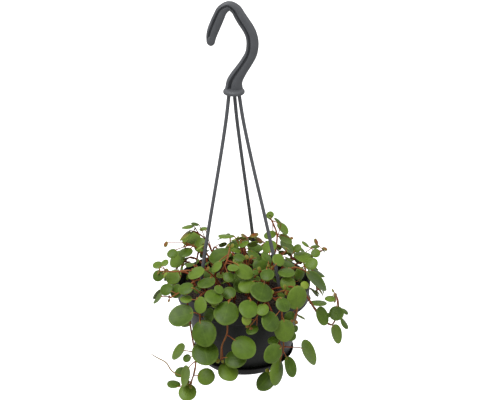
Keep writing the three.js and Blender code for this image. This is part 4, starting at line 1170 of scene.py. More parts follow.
def finished(name: str, bm: Shell, materials: Sequence[Material], crease: float) -> Piece:
    """Makes a piece of a mesh, in the shared frame.

    Args:
        name: The piece's name.
        bm: Its mesh, in the pot's own millimetres; it is freed.
        materials: Its materials, in the order of the mesh's material indices.
        crease: The angle in degrees past which an edge stays sharp.

    Returns:
        The piece, linked to the scene, at the origin.
    """
    bmesh.ops.transform(bm, matrix=TO_FRAME, verts=bm.verts[:])
    for face in bm.faces:
        face.smooth = True
    for edge in bm.edges:
        edge.smooth = edge.is_manifold and edge.calc_face_angle(0.0) < math.radians(crease)
    piece = linked(name, mesh_of(name, bm))
    for material in materials:
        piece.data.materials.append(material)
    return piece


def subdivided(piece: Piece, levels: int) -> None:
    """Rounds a piece with a subdivision surface, the same in every view."""
    step = piece.modifiers.new("rounding", "SUBSURF")
    step.levels = levels
    step.render_levels = levels


def report(piece: Piece) -> None:
    """Logs a finished piece with its number of faces."""
    log.info("%s: %d faces", piece.name, len(piece.data.polygons))


@dataclass
class Hanger:
    """The one-piece moulded hanger: a grooved hook, a crown, three rods and their feet."""

    hook_width: float = 10.0
    hook_depth: float = 7.4
    hook_back: float = 1.3
    hook_sides: int = 44
    rings: int = 72
    groove_width: float = 2.3
    groove_depth: float = 3.0
    groove_turn: float = -34.0
    groove_lip: float = 0.07
    tip_shape: Point = (1.0, 0.8, 1.2)
    line: tuple[Point, ...] = (
        (-15.1, -26.5, 7.8), (-14.5, -22, 9.2), (-13, -17, 10.2), (-10.6, -11, 10.4), (-8, -5, 10.2),
        (-5.2, 0.6, 9.6), (0.6, 4.4, 8.7), (6.3, 1.4, 9.4), (9.6, -4, 10), (12.9, -9.5, 10.4),
        (16.8, -15.5, 10.4), (19.6, -22, 10.4), (20.6, -29.5, 10.7), (19.4, -38, 10.6),
        (15.8, -45.2, 10.7), (11.2, -52.4, 11.2), (7, -59.2, 12.6), (5, -64, 14), (4.6, -67.5, 14.8),
        (4.5, -71, 16.2),
    )
    crown_radius: float = 9.4
    crown_height: float = 4.5
    crown_wall: float = 2.0
    crown_recess: float = 1.2
    crown_sides: int = 48
    rod_sides: int = 14
    rod_waist: float = 0.05
    rod_root: float = 3.0
    rod_steps: int = 28
    foot_edge: float = 0.5

    def _section(self) -> list[Point]:
        """Returns the hook's section: a disc of radius one with a groove whose lips are rounded."""
        mouth = math.asin(self.groove_width / self.hook_width)
        floor = 1 - 2 * self.groove_depth / self.hook_width
        start = mouth + self.groove_lip
        sides = self.hook_sides
        angles = [start + (math.tau - 2 * start) * i / sides for i in range(sides + 1)]
        corners = [(math.cos(angle), math.sin(angle), 0.0) for angle in angles]
        side = [
            (math.cos(start) - self.groove_lip * 0.35, math.sin(mouth + self.groove_lip * 0.3), 0.0),
            (math.cos(start) - self.groove_lip * 1.2, math.sin(mouth), 0.0),
            (floor + 0.1, math.sin(mouth) * 0.9, 0.0),
            (floor, math.sin(mouth) * 0.6, 0.0),
        ]
        corners += [(x, -y, z) for x, y, z in side]
        corners += reversed(side)
        return corners

    def _hook(self) -> Shell:
        """Sweeps the section along the hook's centreline, its groove to the front and left."""
        bm = bmesh.new()
        line = spaced(smooth(self.line, 8), self.rings)
        frames = []
        for i, (across, up, width) in enumerate(line):
            before, after = line[max(i - 1, 0)], line[min(i + 1, self.rings)]
            way = Vector((after[0] - before[0], 0.0, after[1] - before[1])).normalized()
            growth = width / self.hook_width
            turn = math.asin(math.sin(math.radians(self.groove_turn)) * way.z)
            out = Vector((way.z, 0.0, -way.x)) * width / 2
            front = Vector((0.0, -self.hook_depth * growth / 2, 0.0))
            first = front * math.cos(turn) + out * math.sin(turn)
            second = out * math.cos(turn) - front * math.sin(turn)
            middle = add(SEAT, (across, self.hook_back * growth, up))
            frames.append(Matrix.Translation(middle) @ Matrix((first, second, way)).transposed().to_4x4())
        sweep(bm, self._section(), frames)
        bmesh.ops.recalc_face_normals(bm, faces=bm.faces[:])
        return bm

    def _tip(self) -> Shell:
        """Builds the solid round tip of the hook."""
        across, up, width = self.line[0]
        back = self.hook_back * width / self.hook_width
        bm = bmesh.new()
        bmesh.ops.create_uvsphere(bm, u_segments=24, v_segments=14, radius=width / 2)
        bmesh.ops.scale(bm, vec=self.tip_shape, verts=bm.verts[:])
        bmesh.ops.translate(bm, vec=add(SEAT, (across, back, up)), verts=bm.verts[:])
        return bm

    def _crown(self) -> Shell:
        """Turns the bell-shaped crown under the hook."""
        radius, height = self.crown_radius, self.crown_height
        hollow = radius - self.crown_wall
        outline = (
            (0.0, self.crown_recess),
            (hollow - 0.6, self.crown_recess * 0.8),
            (hollow, 0.15),
            (hollow + 0.4, 0.0),
            (radius - 0.9, 0.0),
            (radius - 0.3, 0.35),
            (radius, 1.2),
            (radius, 2.2),
            (radius - 0.3, 3.0),
            (radius - 1.2, height - 0.7),
            (radius - 2.6, height - 0.25),
            (0.0, height),
        )
        bm = turned(outline, self.crown_sides)
        bmesh.ops.translate(bm, vec=add(SEAT, CROWN_OFFSET), verts=bm.verts[:])
        return bm

    def _rod(self, turn: float) -> Shell:
        """Sweeps one rod from inside the crown down to its foot.

        Args:
            turn: The turn of its foot in degrees.

        Returns:
            The rod, slightly slimmer at mid-length.
        """
        route = rod_route(turn, 8)
        whole = spaced([add(route[0], (0.0, 0.0, self.rod_root)), *route], len(route))
        path = spaced(smooth(whole, 6), self.rod_steps)
        bm = bmesh.new()
        waists = [self.rod_waist * math.sin(math.pi * i / self.rod_steps) for i in range(len(path))]
        radii = [HANGER_ROD_RADIUS * (1.04 - waist) for waist in waists]
        sweep(bm, circle(self.rod_sides), path_frames(path, radii))
        bmesh.ops.recalc_face_normals(bm, faces=bm.faces[:])
        return bm

    def build(self, finish: "Plastic") -> Piece:
        """Builds the hanger as one moulding.

        Args:
            finish: Its plastic.

        Returns:
            The piece, which stands for the hanger's solid.
        """
        inner, outer = FOOT_RADIUS - FOOT_SIZE[1] / 2, FOOT_RADIUS + FOOT_SIZE[1] / 2
        feet = [
            block(turn, inner, outer, FOOT_SIZE[0], FOOT_BOTTOM, FOOT_TOP, self.foot_edge)
            for turn in ROD_TURNS
        ]
        others = [self._tip(), self._crown(), *(self._rod(turn) for turn in ROD_TURNS), *feet]
        bm = combined(self._hook(), [(Join.UNION, part) for part in others])
        piece = finished("hanger_moulding", bm, [finish.material()], 30.0)
        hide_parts("hanger")
        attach(piece, "root")
        return piece


@dataclass
class Pot:
    """The tapered pot with its collar, rolled bead, drain holes and the pockets for the hanger's feet."""

    sides: int = 112
    drain_holes: int = 5
    drain_radius: float = 3.5
    drain_ring: float = 24.0
    drain_sides: int = 24
    edge: float = 0.35

    def _shell(self) -> Shell:
        """Turns the wall, floor, ledge and collar."""
        p, edge = POT, self.edge
        rim, top, ledge = p.rim_radius, p.rim_height, p.ledge
        outer = rim + p.bead
        inner = rim - p.wall
        outline = (
            (0.0, p.base_height),
            (p.base_radius, p.base_height),
            (p.base_radius + p.base_edge[0] * 0.6, p.base_height + p.base_edge[1] * 0.25),
            (p.base_radius + p.base_edge[0], p.base_height + p.base_edge[1]),
            (p.wall_foot_radius - 0.3, p.wall_foot_height - 1),
            (p.wall_top_radius, ledge),
            (rim - p.ledge_edge, ledge),
            (rim - 0.25, ledge + 0.3),
            (rim, ledge + p.ledge_edge),
            (rim, top - p.lip - 0.4),
            (outer, top - p.lip + 0.3),
            (outer, top - edge),
            (outer - edge, top),
            (rim - p.wall + edge, top),
            (inner, top - edge),
            (inner, ledge + p.wall),
            (p.wall_top_radius - p.wall, ledge + p.wall),
            (p.wall_foot_radius - p.wall, p.wall_foot_height),
            (p.base_radius, p.base_height + p.floor),
            (0.0, p.base_height + p.floor),
        )
        return turned(outline, self.sides)

    def build(self, finish: "Plastic") -> Piece:
        """Builds the pot.

        Args:
            finish: Its plastic.

        Returns:
            The piece, which stands for the pot's solid.
        """
        inner = FOOT_RADIUS - FOOT_SIZE[1] / 2 - GAP
        bottom = FOOT_BOTTOM - GAP - SOCKET_WALL
        outer = FOOT_RADIUS + FOOT_SIZE[1] / 2 + GAP
        middle = POT.wall_radius_at(bottom) - POT.wall / 2
        width = FOOT_SIZE[0] + 2 * GAP
        through = POT.base_height + 2 * POT.floor
        parts = []
        for i in range(self.drain_holes):
            place = around(360 * i / self.drain_holes, self.drain_ring, 0.0)
            parts.append((Join.CUT, round_post(place, self.drain_radius, 0.0, through, self.drain_sides)))
        for turn in ROD_TURNS:
            pocket = block(
                turn, inner - SOCKET_WALL, middle, FOOT_SIZE[0] + 2 * (GAP + SOCKET_WALL),
                bottom, FOOT_BOTTOM + SOCKET_DEPTH,
            )
            parts.append((Join.UNION, pocket))
        for turn in ROD_TURNS:
            hollow = block(turn, inner, outer, width, FOOT_BOTTOM - GAP, FOOT_BOTTOM + 2 * SOCKET_DEPTH)
            parts.append((Join.CUT, hollow))
        piece = finished("nursery_pot", combined(self._shell(), parts), [finish.material()], 50.0)
        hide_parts("pot")
        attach(piece, "root")
        return piece


@dataclass
class Saucer:
    """The shallow clip-on dish, with a ring on its floor that carries the pot."""

    foot_radius: float = 36.5
    floor: float = 1.6
    foot_edge: tuple[float, float] = (1.4, 0.8)
    lip: tuple[float, float] = (1.4, 2.6)
    lip_wall: float = 1.2
    edge: float = 0.3
    rib_radius: float = 32.0
    rib_half: float = 1.0
    rib_edge: float = 0.2
    sides: int = 112

    def build(self, finish: "Plastic") -> Piece:
        """Builds the saucer.

        Args:
            finish: Its plastic.

        Returns:
            The piece, which stands for the saucer's solid.
        """
        radius, height = POT.saucer_radius, POT.saucer_height
        foot, wall, floor = self.foot_radius, self.lip_wall, self.floor
        edge, rib_edge = self.edge, self.rib_edge
        rib_outer, rib_inner = self.rib_radius + self.rib_half, self.rib_radius - self.rib_half
        rib_top = POT.base_height - GAP
        outline = (
            (0.0, 0.0),
            (foot, 0.0),
            (foot + self.foot_edge[0] * 0.65, self.foot_edge[1] * 0.3),
            (foot + self.foot_edge[0], self.foot_edge[1]),
            (radius - self.lip[0] - 0.25, height - self.lip[1] - 0.4),
            (radius - self.lip[0] + 0.2, height - self.lip[1] + 0.3),
            (radius - 0.15, height - wall - 0.2),
            (radius, height - wall + 0.2),
            (radius, height - edge),
            (radius - edge, height),
            (radius - wall + edge, height),
            (radius - wall, height - edge),
            (radius - self.lip[0] - wall, height - self.lip[1] + 0.8),
            (foot - 0.4, floor),
            (rib_outer, floor),
            (rib_outer, rib_top - rib_edge),
            (rib_outer - rib_edge, rib_top),
            (rib_inner + rib_edge, rib_top),
            (rib_inner, rib_top - rib_edge),
            (rib_inner, floor),
            (0.0, floor),
        )
        piece = finished("clip_on_saucer", turned(outline, self.sides), [finish.material()], 45.0)
        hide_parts("saucer")
        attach(piece, "root")
        return piece


@dataclass
class SoilHeap:
    """The compost: an uneven heap that fills the pot, with crumbs and bits of bark on it."""

    sides: int = 120
    rings: int = 30
    seed: int = 11
    crumbs: int = 620
    crumb_sizes: tuple[float, float] = (0.5, 1.9)
    roughness: float = 0.9

    def _surface_height(self, radius: float) -> float:
        """Works out the height of the heap's smooth surface.

        Args:
            radius: The distance from the pot's axis.

        Returns:
            The height above the saucer's underside.
        """
        bend = POT.rim_radius * 0.55
        if radius < bend:
            return POT.soil_crown - 0.5 * radius / bend
        edge = POT.rim_radius - POT.wall - GAP
        t = (radius - bend) / (edge - bend)
        return POT.soil_crown - 0.5 + (POT.soil_edge - POT.soil_crown + 0.5) * t

    def _heap(self) -> Shell:
        """Turns the body of the heap and roughens its upper face."""
        inner = POT.wall + GAP
        ledge = POT.ledge + POT.wall + GAP
        floor = POT.base_height + POT.floor + GAP
        edge = POT.rim_radius - inner
        radii = [edge * (1 - i / self.rings) for i in range(self.rings + 1)]
        outline = (
            (0.0, floor),
            (POT.base_radius - 1, floor),
            (POT.wall_foot_radius - inner - 0.3, POT.wall_foot_height + 0.6),
            (POT.wall_top_radius - inner - 0.2, ledge),
            (edge, ledge),
            *((radius, self._surface_height(radius)) for radius in radii),
        )
        bm = turned(outline, self.sides)
        for vert in bm.verts:
            radius = math.hypot(vert.co.x, vert.co.y)
            if vert.co.z > ledge + 0.5 and radius < edge - 0.5:
                coarse = noise.noise(vert.co * 0.16)
                fine = noise.noise(vert.co * 0.7)
                vert.co.z += self.roughness * (coarse + 0.7 * fine - 0.4)
        return bm

    def _crumb(self, bm: Shell, draw: Draws) -> None:
        """Adds one lump to the heap's upper face.

        Args:
            bm: The heap's mesh.
            draw: The seeded draws.
        """
        turn = 360 * draw()
        radius = (POT.rim_radius - 4) * math.sqrt(draw())
        low, high = self.crumb_sizes
        size = low + (high - low) * draw() ** 2
        made = bmesh.ops.create_icosphere(bm, subdivisions=1, radius=size)["verts"]
        stretch = (0.7 + 0.6 * draw(), 0.7 + 0.6 * draw(), 0.5 + 0.4 * draw())
        bmesh.ops.scale(bm, vec=stretch, verts=made)
        for vert in made:
            vert.co *= 0.8 + 0.4 * draw()
        spin = Matrix.Rotation(math.tau * draw(), 3, "Z")
        bmesh.ops.rotate(bm, cent=(0, 0, 0), matrix=spin, verts=made)
        centre = around(turn, radius, self._surface_height(radius) - 0.35 * size)
        bmesh.ops.translate(bm, vec=centre, verts=made)

    def build(self, finish: "Compost") -> Piece:
        """Builds the heap.

        Args:
            finish: Its compost.

        Returns:
            The piece, which stands for the soil's solid.
        """
        bm = self._heap()
        draw = Draws(self.seed)
        for _ in range(self.crumbs):
            self._crumb(bm, draw)
        piece = finished("compost_heap", bm, [finish.material()], 80.0)
        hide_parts("soil")
        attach(piece, "root")
        return piece


class PlantPlan:
    """Plans every stem and leaf, so that nothing crosses what is already there."""

    def __init__(self) -> None:
        """Lays out the whole plant."""
        self.stems: list[Stem] = []
        self.discs = Register()
        self.rods = Register()
        for turn in ROD_TURNS:
            route = rod_route(turn, 8)
            for a, b in zip(route, route[1:]):
                self._take(Rod.of(a, b, HANGER_ROD_RADIUS, "hanger"))
        self.draw = Draws(SEED)
        self._lay_front()
        self._lay_rest()

    def _take(self, item: Disc | Rod) -> None:
        """Keeps the room of a leaf or of a stretch of stem."""
        if isinstance(item, Disc):
            self.discs.keep(item, item.centre, item.radius + item.half)
        else:
            self.rods.keep(item, item.middle, item.reach + item.radius)

    def _leaf_fits(self, disc: Disc) -> bool:
        """Tells whether a leaf is clear of the pot, of other leaves and of others' stems.

        Args:
            disc: The leaf's room.

        Returns:
            True where it is clear.
        """
        reach = disc.radius + disc.half
        rods = [rod for rod in self.rods.near(disc.centre, reach) if rod.owner != disc.owner]
        return (
            all(POT.clear_of(point, disc.half + CLEAR) for point in disc.dots)
            and not any(rod.meets_disc(disc) for rod in rods)
            and not any(disc.meets(other) for other in self.discs.near(disc.centre, reach))
        )

    def _rod_fits(self, piece: Rod) -> bool:
        """Tells whether a stretch of stem is clear of others' leaves and stems.

        Args:
            piece: The stretch's room.

        Returns:
            True where it is clear.
        """
        reach = piece.reach + piece.radius
        discs = [disc for disc in self.discs.near(piece.middle, reach) if disc.owner != piece.owner]
        rods = [rod for rod in self.rods.near(piece.middle, reach) if rod.owner != piece.owner]
        return not any(map(piece.meets_disc, discs)) and not any(map(piece.meets, rods))

    def _stem_fits(self, stem: Stem) -> bool:
        """Tells whether a bare stem is clear of the pot and of all that is there.

        Args:
            stem: The bare stem.

        Returns:
            True where it is clear.
        """
        return all(map(self._rod_fits, stem.rods)) and all(
            math.hypot(point[0], point[1]) < POT.rim_radius - ROOT_MARGIN
            or POT.clear_of(point, stem.radius + CLEAR)
            for point in stem.row
        )

    def _keep_stem(self, stem: Stem) -> None:
        """Adds a bare stem to the plant."""
        self.stems.append(stem)
        for piece in stem.rods:
            self._take(piece)

    def _place_leaf(self, stem: Stem, leaf: Leaf, beside_stem: bool, alone: bool) -> bool:
        """Puts a leaf and its petiole on a stem, if there is room for both.

        Args:
            stem: The stem that carries the leaf.
            leaf: The leaf to set.
            beside_stem: Whether the leaf has to be clear of its own stem.
            alone: Whether its petiole has to be clear of the stem's other petioles.

        Returns:
            True where the leaf was set.
        """
        start, base = leaf.start, leaf.base
        disc = Disc.of(leaf, stem.name)
        petiole = Rod.of(start, base, PETIOLE_RADIUS, stem.name)
        apart = PETIOLE_SPACING if alone else PETIOLE_SPACING / 3
        free = (
            dot(unit(sub(base, start)), leaf.along) > LEAST_RUN
            and all(
                length(sub(other.a, start)) > apart and not (alone and petiole.meets(other))
                for other in stem.petioles
            )
            and self._leaf_fits(disc)
            and self._rod_fits(petiole)
            and not any(
                other.owner == stem.name and petiole.meets_disc(other)
                for other in self.discs.near(petiole.middle, petiole.reach + petiole.radius)
            )
            and not (beside_stem and any(piece.meets_disc(disc) for piece in stem.rods))
        )
        if free:
            stem.leaves.append(leaf)
            stem.petioles.append(petiole)
            self._take(disc)
            self._take(petiole)
        return free

    def _set_leaf(self, stem: Stem, seen: SeenLeaf, centre: Point, size: float, alone: bool) -> bool:
        """Hangs a leaf from the point of its stem that leaves it the likeliest petiole.

        Args:
            stem: The stem that carries the leaf.
            seen: The leaf as it shows in the view.
            centre: Its middle.
            size: The share of its length that it gets.
            alone: Whether its petiole has to be clear of the stem's other petioles.

        Returns:
            True where the leaf was set.
        """
        normal = facing_normal(centre, seen)
        long = seen.long * size
        options = []
        for piece in stem.rods:
            for t in PETIOLE_PLACES:
                start = mix(piece.a, piece.b, t)
                along = unit(flatten(sub(centre, start), normal))
                base = sub(centre, scale(along, long / 2))
                reach = length(sub(base, start))
                bare = start[2] > POT.soil_crown + 1 or math.hypot(start[0], start[1]) > POT.rim_radius
                if bare and reach < LONGEST_PETIOLE:
                    leaf = Leaf.of(start, centre, normal, along, long, seen.face, seen.tint)
                    options.append((abs(reach - PETIOLE_LENGTH), leaf))
        options.sort(key=lambda option: option[0])
        return any(self._place_leaf(stem, leaf, False, alone) for _, leaf in options[:PETIOLE_TRIES])

    def _set_seen_leaf(self, stem: Stem, seen: SeenLeaf) -> None:
        """Sets a leaf as long and as broad as it looks, its long way leaning from the level.

        Args:
            stem: The stem that carries the leaf.
            seen: The leaf as it shows in the view.
        """
        for size, alone in LEAF_SIZES:
            for step in OUT_STEPS:
                centre = VIEW.seen(seen.x, seen.y, seen.out + step * sign(seen.out))
                if self._set_leaf(stem, seen, centre, size, alone):
                    return

    def _lay_front(self) -> None:
        """Lays the measured stems, their spikes and, from the largest down, their leaves."""
        front = []
        for entry in FRONT_STEMS:
            for step in OUT_STEPS:
                points = [VIEW.seen(x, y, out + step * sign(out)) for x, y, out in entry.route]
                stem = Stem.laid(entry.name, [*root_points(*entry.root), *points], STEM_RADIUS)
                if self._stem_fits(stem):
                    self._keep_stem(stem)
                    front.append((stem, entry))
                    break
        for stem, entry in front:
            for spike in entry.spikes:
                row = spaced(smooth([VIEW.seen(*point) for point in spike], 6), 6)
                pieces = [Rod.of(a, b, SPIKE_RADIUS, stem.name) for a, b in zip(row, row[1:])]
                if all(map(self._rod_fits, pieces)):
                    stem.spikes.append(row)
                    for piece in pieces:
                        self._take(piece)
        leaves = [(stem, leaf) for stem, entry in front for leaf in entry.leaves]
        for stem, leaf in sorted(leaves, key=lambda pair: -pair[1].long):
            self._set_seen_leaf(stem, leaf)

    def _lay_ruled(self, name: str, course: Callable[[], list[Point]]) -> list[Stem]:
        """Draws the course of one stem until it is clear of the others.

        Args:
            name: The stem's name.
            course: Draws its points.

        Returns:
            The stem in a list, which is empty where it found no room.
        """
        for _ in range(ATTEMPTS):
            stem = Stem.laid(name, course(), STEM_RADIUS)
            if self._stem_fits(stem):
                self._keep_stem(stem)
                return [stem]
        return []

    def _lay_rest(self) -> None:
        """Lays the trailing stems and the mound by rule, and dresses them from the last to the first."""
        draw = self.draw
        trailing: list[Stem] = []
        mound: list[Stem] = []
        for i, (turn, drop) in enumerate(zip(TRAILING_TURNS, TRAILING_DROPS)):
            trailing += self._lay_ruled(
                f"stem_trailing_{i + 1}",
                lambda: trailing_points(
                    turn + 8 * (draw() - 0.5),
                    38 + 6 * draw(),
                    16 * (draw() - 0.5),
                    drop * (0.9 + 0.2 * draw()),
                    POT.rim_radius + 7 + 3 * draw(),
                ),
            )
        for ring, (count, radius, rise, spread, offset) in enumerate(MOUND_RINGS):
            for i in range(count):
                mound += self._lay_ruled(
                    f"stem_mound_{ring + 1}_{i + 1}",
                    lambda: mound_points(
                        offset + 360 * i / count + 14 * (draw() - 0.5),
                        radius + 5 * (draw() - 0.5),
                        30 * (draw() - 0.5),
                        rise * (0.85 + 0.3 * draw()),
                        spread * (0.8 + 0.4 * draw()),
                    ),
                )
        for stem in reversed(mound):
            self._dress_stem(stem, *MOUND_DRESS)
        for stem in reversed(trailing):
            self._dress_stem(stem, *TRAILING_DRESS)

    def _dress_stem(self, stem: Stem, spacing: float, sizes: tuple[float, float], lift: float) -> None:
        """Dresses a stem that nobody measured: leaves alternate along it, smaller to its tip.

        Args:
            stem: The bare stem.
            spacing: The run of stem from leaf to leaf.
            sizes: The least and the greatest length of a leaf.
            lift: How far its leaves turn up.
        """
        draw = self.draw
        marks = [0.0]
        for piece in stem.rods:
            marks.append(marks[-1] + 2 * piece.reach)
        whole = marks[-1]
        hand = -1 if draw() < 0.5 else 1
        mark = whole - 1
        while mark > HOLE_DEPTH + BARE_RUN:
            k = sum(1 for m in marks if m <= mark) - 1
            piece = stem.rods[k]
            start = mix(piece.a, piece.b, (mark - marks[k]) / (marks[k + 1] - marks[k]))
            way = unit(sub(piece.b, piece.a))
            outward = unit((start[0], start[1], 0.0))
            to_tip = 1 - 0.45 * max(0.0, mark / whole - 0.55) / 0.45
            arching = start[2] > POT.rim_height and math.hypot(start[0], start[1]) > SHOULDER_RADIUS
            share = SHOULDER_SHARE if arching else 1.0
            hand = -hand
            for attempt in range(LEAF_TRIES):
                long = (sizes[0] + (sizes[1] - sizes[0]) * draw()) * to_tip * share * (
                    1 - 0.4 * attempt / LEAF_TRIES
                )
                upright = add(scale(outward, 0.55 + 0.5 * draw()), (0.0, 0.0, lift + 0.5 * draw()))
                stray = (0.7 * (draw() - 0.5), 0.7 * (draw() - 0.5), 0.4 * (draw() - 0.5))
                normal = unit(add(upright, stray))
                aside = unit(cross(way, outward))
                course = add(scale(way, 0.9 * draw()), scale(aside, hand * (0.35 + 0.9 * draw())))
                course = add(course, scale(outward, 0.6 * (draw() - 0.3)))
                along = unit(flatten(course, normal))
                lead = unit(add(scale(normal, 0.7), along))
                base = add(start, scale(lead, PETIOLE_LENGTH * (0.7 + 0.7 * draw())))
                centre = add(base, scale(along, long / 2))
                if self._place_leaf(stem, Leaf.of(start, centre, normal, along, long), True, True):
                    break
            mark -= spacing * (0.8 + 0.4 * draw())


def facing_normal(centre: Point, seen: SeenLeaf) -> Point:
    """Works out which way a leaf looks from how broad it shows.

    Args:
        centre: The leaf's middle.
        seen: The leaf as it shows in the view.

    Returns:
        The way its upper face looks.
    """
    view = unit(sub(centre, VIEW.eye))
    lean = seen.lean * math.pi / 180
    slope = add(scale(VIEW.rightward, math.cos(lean)), scale(VIEW.upward, math.sin(lean)))
    major = unit(flatten(slope, view))
    minor = cross(major, view)
    facing = min(seen.broad / seen.long, 0.97)
    tilt = scale(minor, math.sqrt(1 - facing * facing))
    away = add(unit((centre[0], centre[1], 0.0)), (0.0, 0.0, 1.0))
    side = sign(dot(tilt, away)) or 1.0
    return unit(add(scale(view, -facing), scale(tilt, side)))


def root_points(turn: float, radius: float) -> list[Point]:
    """Returns the lowest part of a stem, which stands upright in the soil."""
    top = POT.soil_crown
    return [around(turn, radius, height) for height in (top - HOLE_DEPTH + 1, top + 3, top + ROOT_RISE)]


def trailing_points(turn: float, radius: float, drift: float, drop: float, out: float) -> list[Point]:
    """Lays a stem that arches over the rim and hangs down beside the pot.

    Args:
        turn: Its root's turn in degrees.
        radius: Its root's distance from the axis.
        drift: Degrees that it drifts round on its way.
        drop: How far it hangs below the rim.
        out: How far from the axis it hangs.

    Returns:
        The points that it passes.
    """
    rim, top = POT.rim_radius, POT.rim_height
    return [
        *root_points(turn, radius),
        around(turn + drift * 0.3, (radius + rim) / 2, top + 7),
        around(turn + drift * 0.5, rim + 2, top + 8),
        around(turn + drift * 0.7, rim + 7, top),
        around(turn + drift, out, top - drop / 2),
        around(turn + drift * 1.2, out + 1, top - drop),
    ]


def mound_points(turn: float, radius: float, drift: float, rise: float, spread: float) -> list[Point]:
    """Lays a stem of the mound, which leans out as it rises.

    Args:
        turn: Its root's turn in degrees.
        radius: Its root's distance from the axis.
        drift: Degrees that it drifts round on its way.
        rise: How far it rises above the soil.
        spread: How far out it leans.

    Returns:
        The points that it passes.
    """
    crown = POT.soil_crown
    return [
        *root_points(turn, radius),
        around(turn + drift * 0.3, radius + spread * 0.2, crown + rise * 0.45),
        around(turn + drift * 0.6, radius + spread * 0.6, crown + rise * 0.8),
        around(turn + drift, radius + spread, crown + rise),
    ]


@dataclass
class LeafCage:
    """The cage of a blade: a few rings of faces that a subdivision surface rounds."""

    segments: int = 12
    insets: tuple[float, ...] = (0.1, 0.42)
    growth: float = 1.075
    roundness: float = 0.985
    tip_breadth: float = 0.34
    tip_reach: float = 0.1
    notch_breadth: float = 0.4
    notch_depth: float = 0.03
    rim_share: float = 0.5
    margin_roll: float = 0.022
    groove: float = 0.02
    groove_breadth: float = 0.16
    waves: float = 0.014

    def template(self) -> bpy.types.Mesh:
        """Returns a flat round slab of radius one and thickness one, its top at zero."""
        bm = bmesh.new()
        bmesh.ops.create_circle(bm, cap_ends=True, segments=self.segments, radius=1.0)
        for inset in self.insets:
            middle = [face for face in bm.faces if len(face.verts) == self.segments]
            bmesh.ops.inset_individual(bm, faces=middle, thickness=inset, depth=0.0)
        made = bmesh.ops.extrude_face_region(bm, geom=bm.faces[:])["geom"]
        lower = [item for item in made if isinstance(item, bmesh.types.BMVert)]
        bmesh.ops.translate(bm, vec=(0, 0, -1), verts=lower)
        bmesh.ops.recalc_face_normals(bm, faces=bm.faces[:])
        return mesh_of("blade_cage", bm)

    def outline(self, angle: float, pointed: float) -> float:
        """Works out how far the rim lies from the middle.

        Args:
            angle: The angle from the tip.
            pointed: How pointed the tip is.

        Returns:
            The distance, as a share of the blade's radius.
        """
        tip = math.exp(-((angle / self.tip_breadth) ** 2))
        base = math.exp(-(((math.pi - abs(angle)) / self.notch_breadth) ** 2))
        return self.roundness + self.tip_reach * pointed * tip - self.notch_depth * base

    def place(self, leaf: Leaf, co: Vector, phases: tuple[float, float], pointed: float) -> Point:
        """Moves a corner of the cage to its place on a leaf.

        Args:
            leaf: The leaf.
            co: The corner in the template.
            phases: Where the leaf's slight waves start.
            pointed: How pointed its tip is.

        Returns:
            The place in the pot's own millimetres.
        """
        reach = math.hypot(co.x, co.y)
        angle = math.atan2(co.y, co.x)
        grown = reach * self.growth * self.outline(angle, pointed)
        u = grown * math.cos(angle)
        v = BLADE_BREADTH * grown * math.sin(angle)
        half = leaf.thickness / 2 * (1 - (1 - self.rim_share) * min(reach, 1.0) ** 3)
        height = half if co.z > -0.5 else -half
        face = sign(leaf.dome) or 1.0
        dent = math.exp(-((v / self.groove_breadth) ** 2))
        height -= leaf.dome * (v * v + 0.5 * u * u)
        height -= face * leaf.long * self.margin_roll * min(reach, 1.0) ** 5
        height -= face * leaf.long * self.groove * dent * (1 - min(reach, 1.0))
        height += leaf.long * self.waves * reach * reach * (
            math.sin(2 * angle + phases[0]) + 0.6 * math.sin(3 * angle + phases[1])
        )
        side = cross(leaf.normal, leaf.along)
        return add(
            add(leaf.centre, scale(leaf.along, u * leaf.long / 2)),
            add(scale(side, v * leaf.long / 2), scale(leaf.normal, height)),
        )


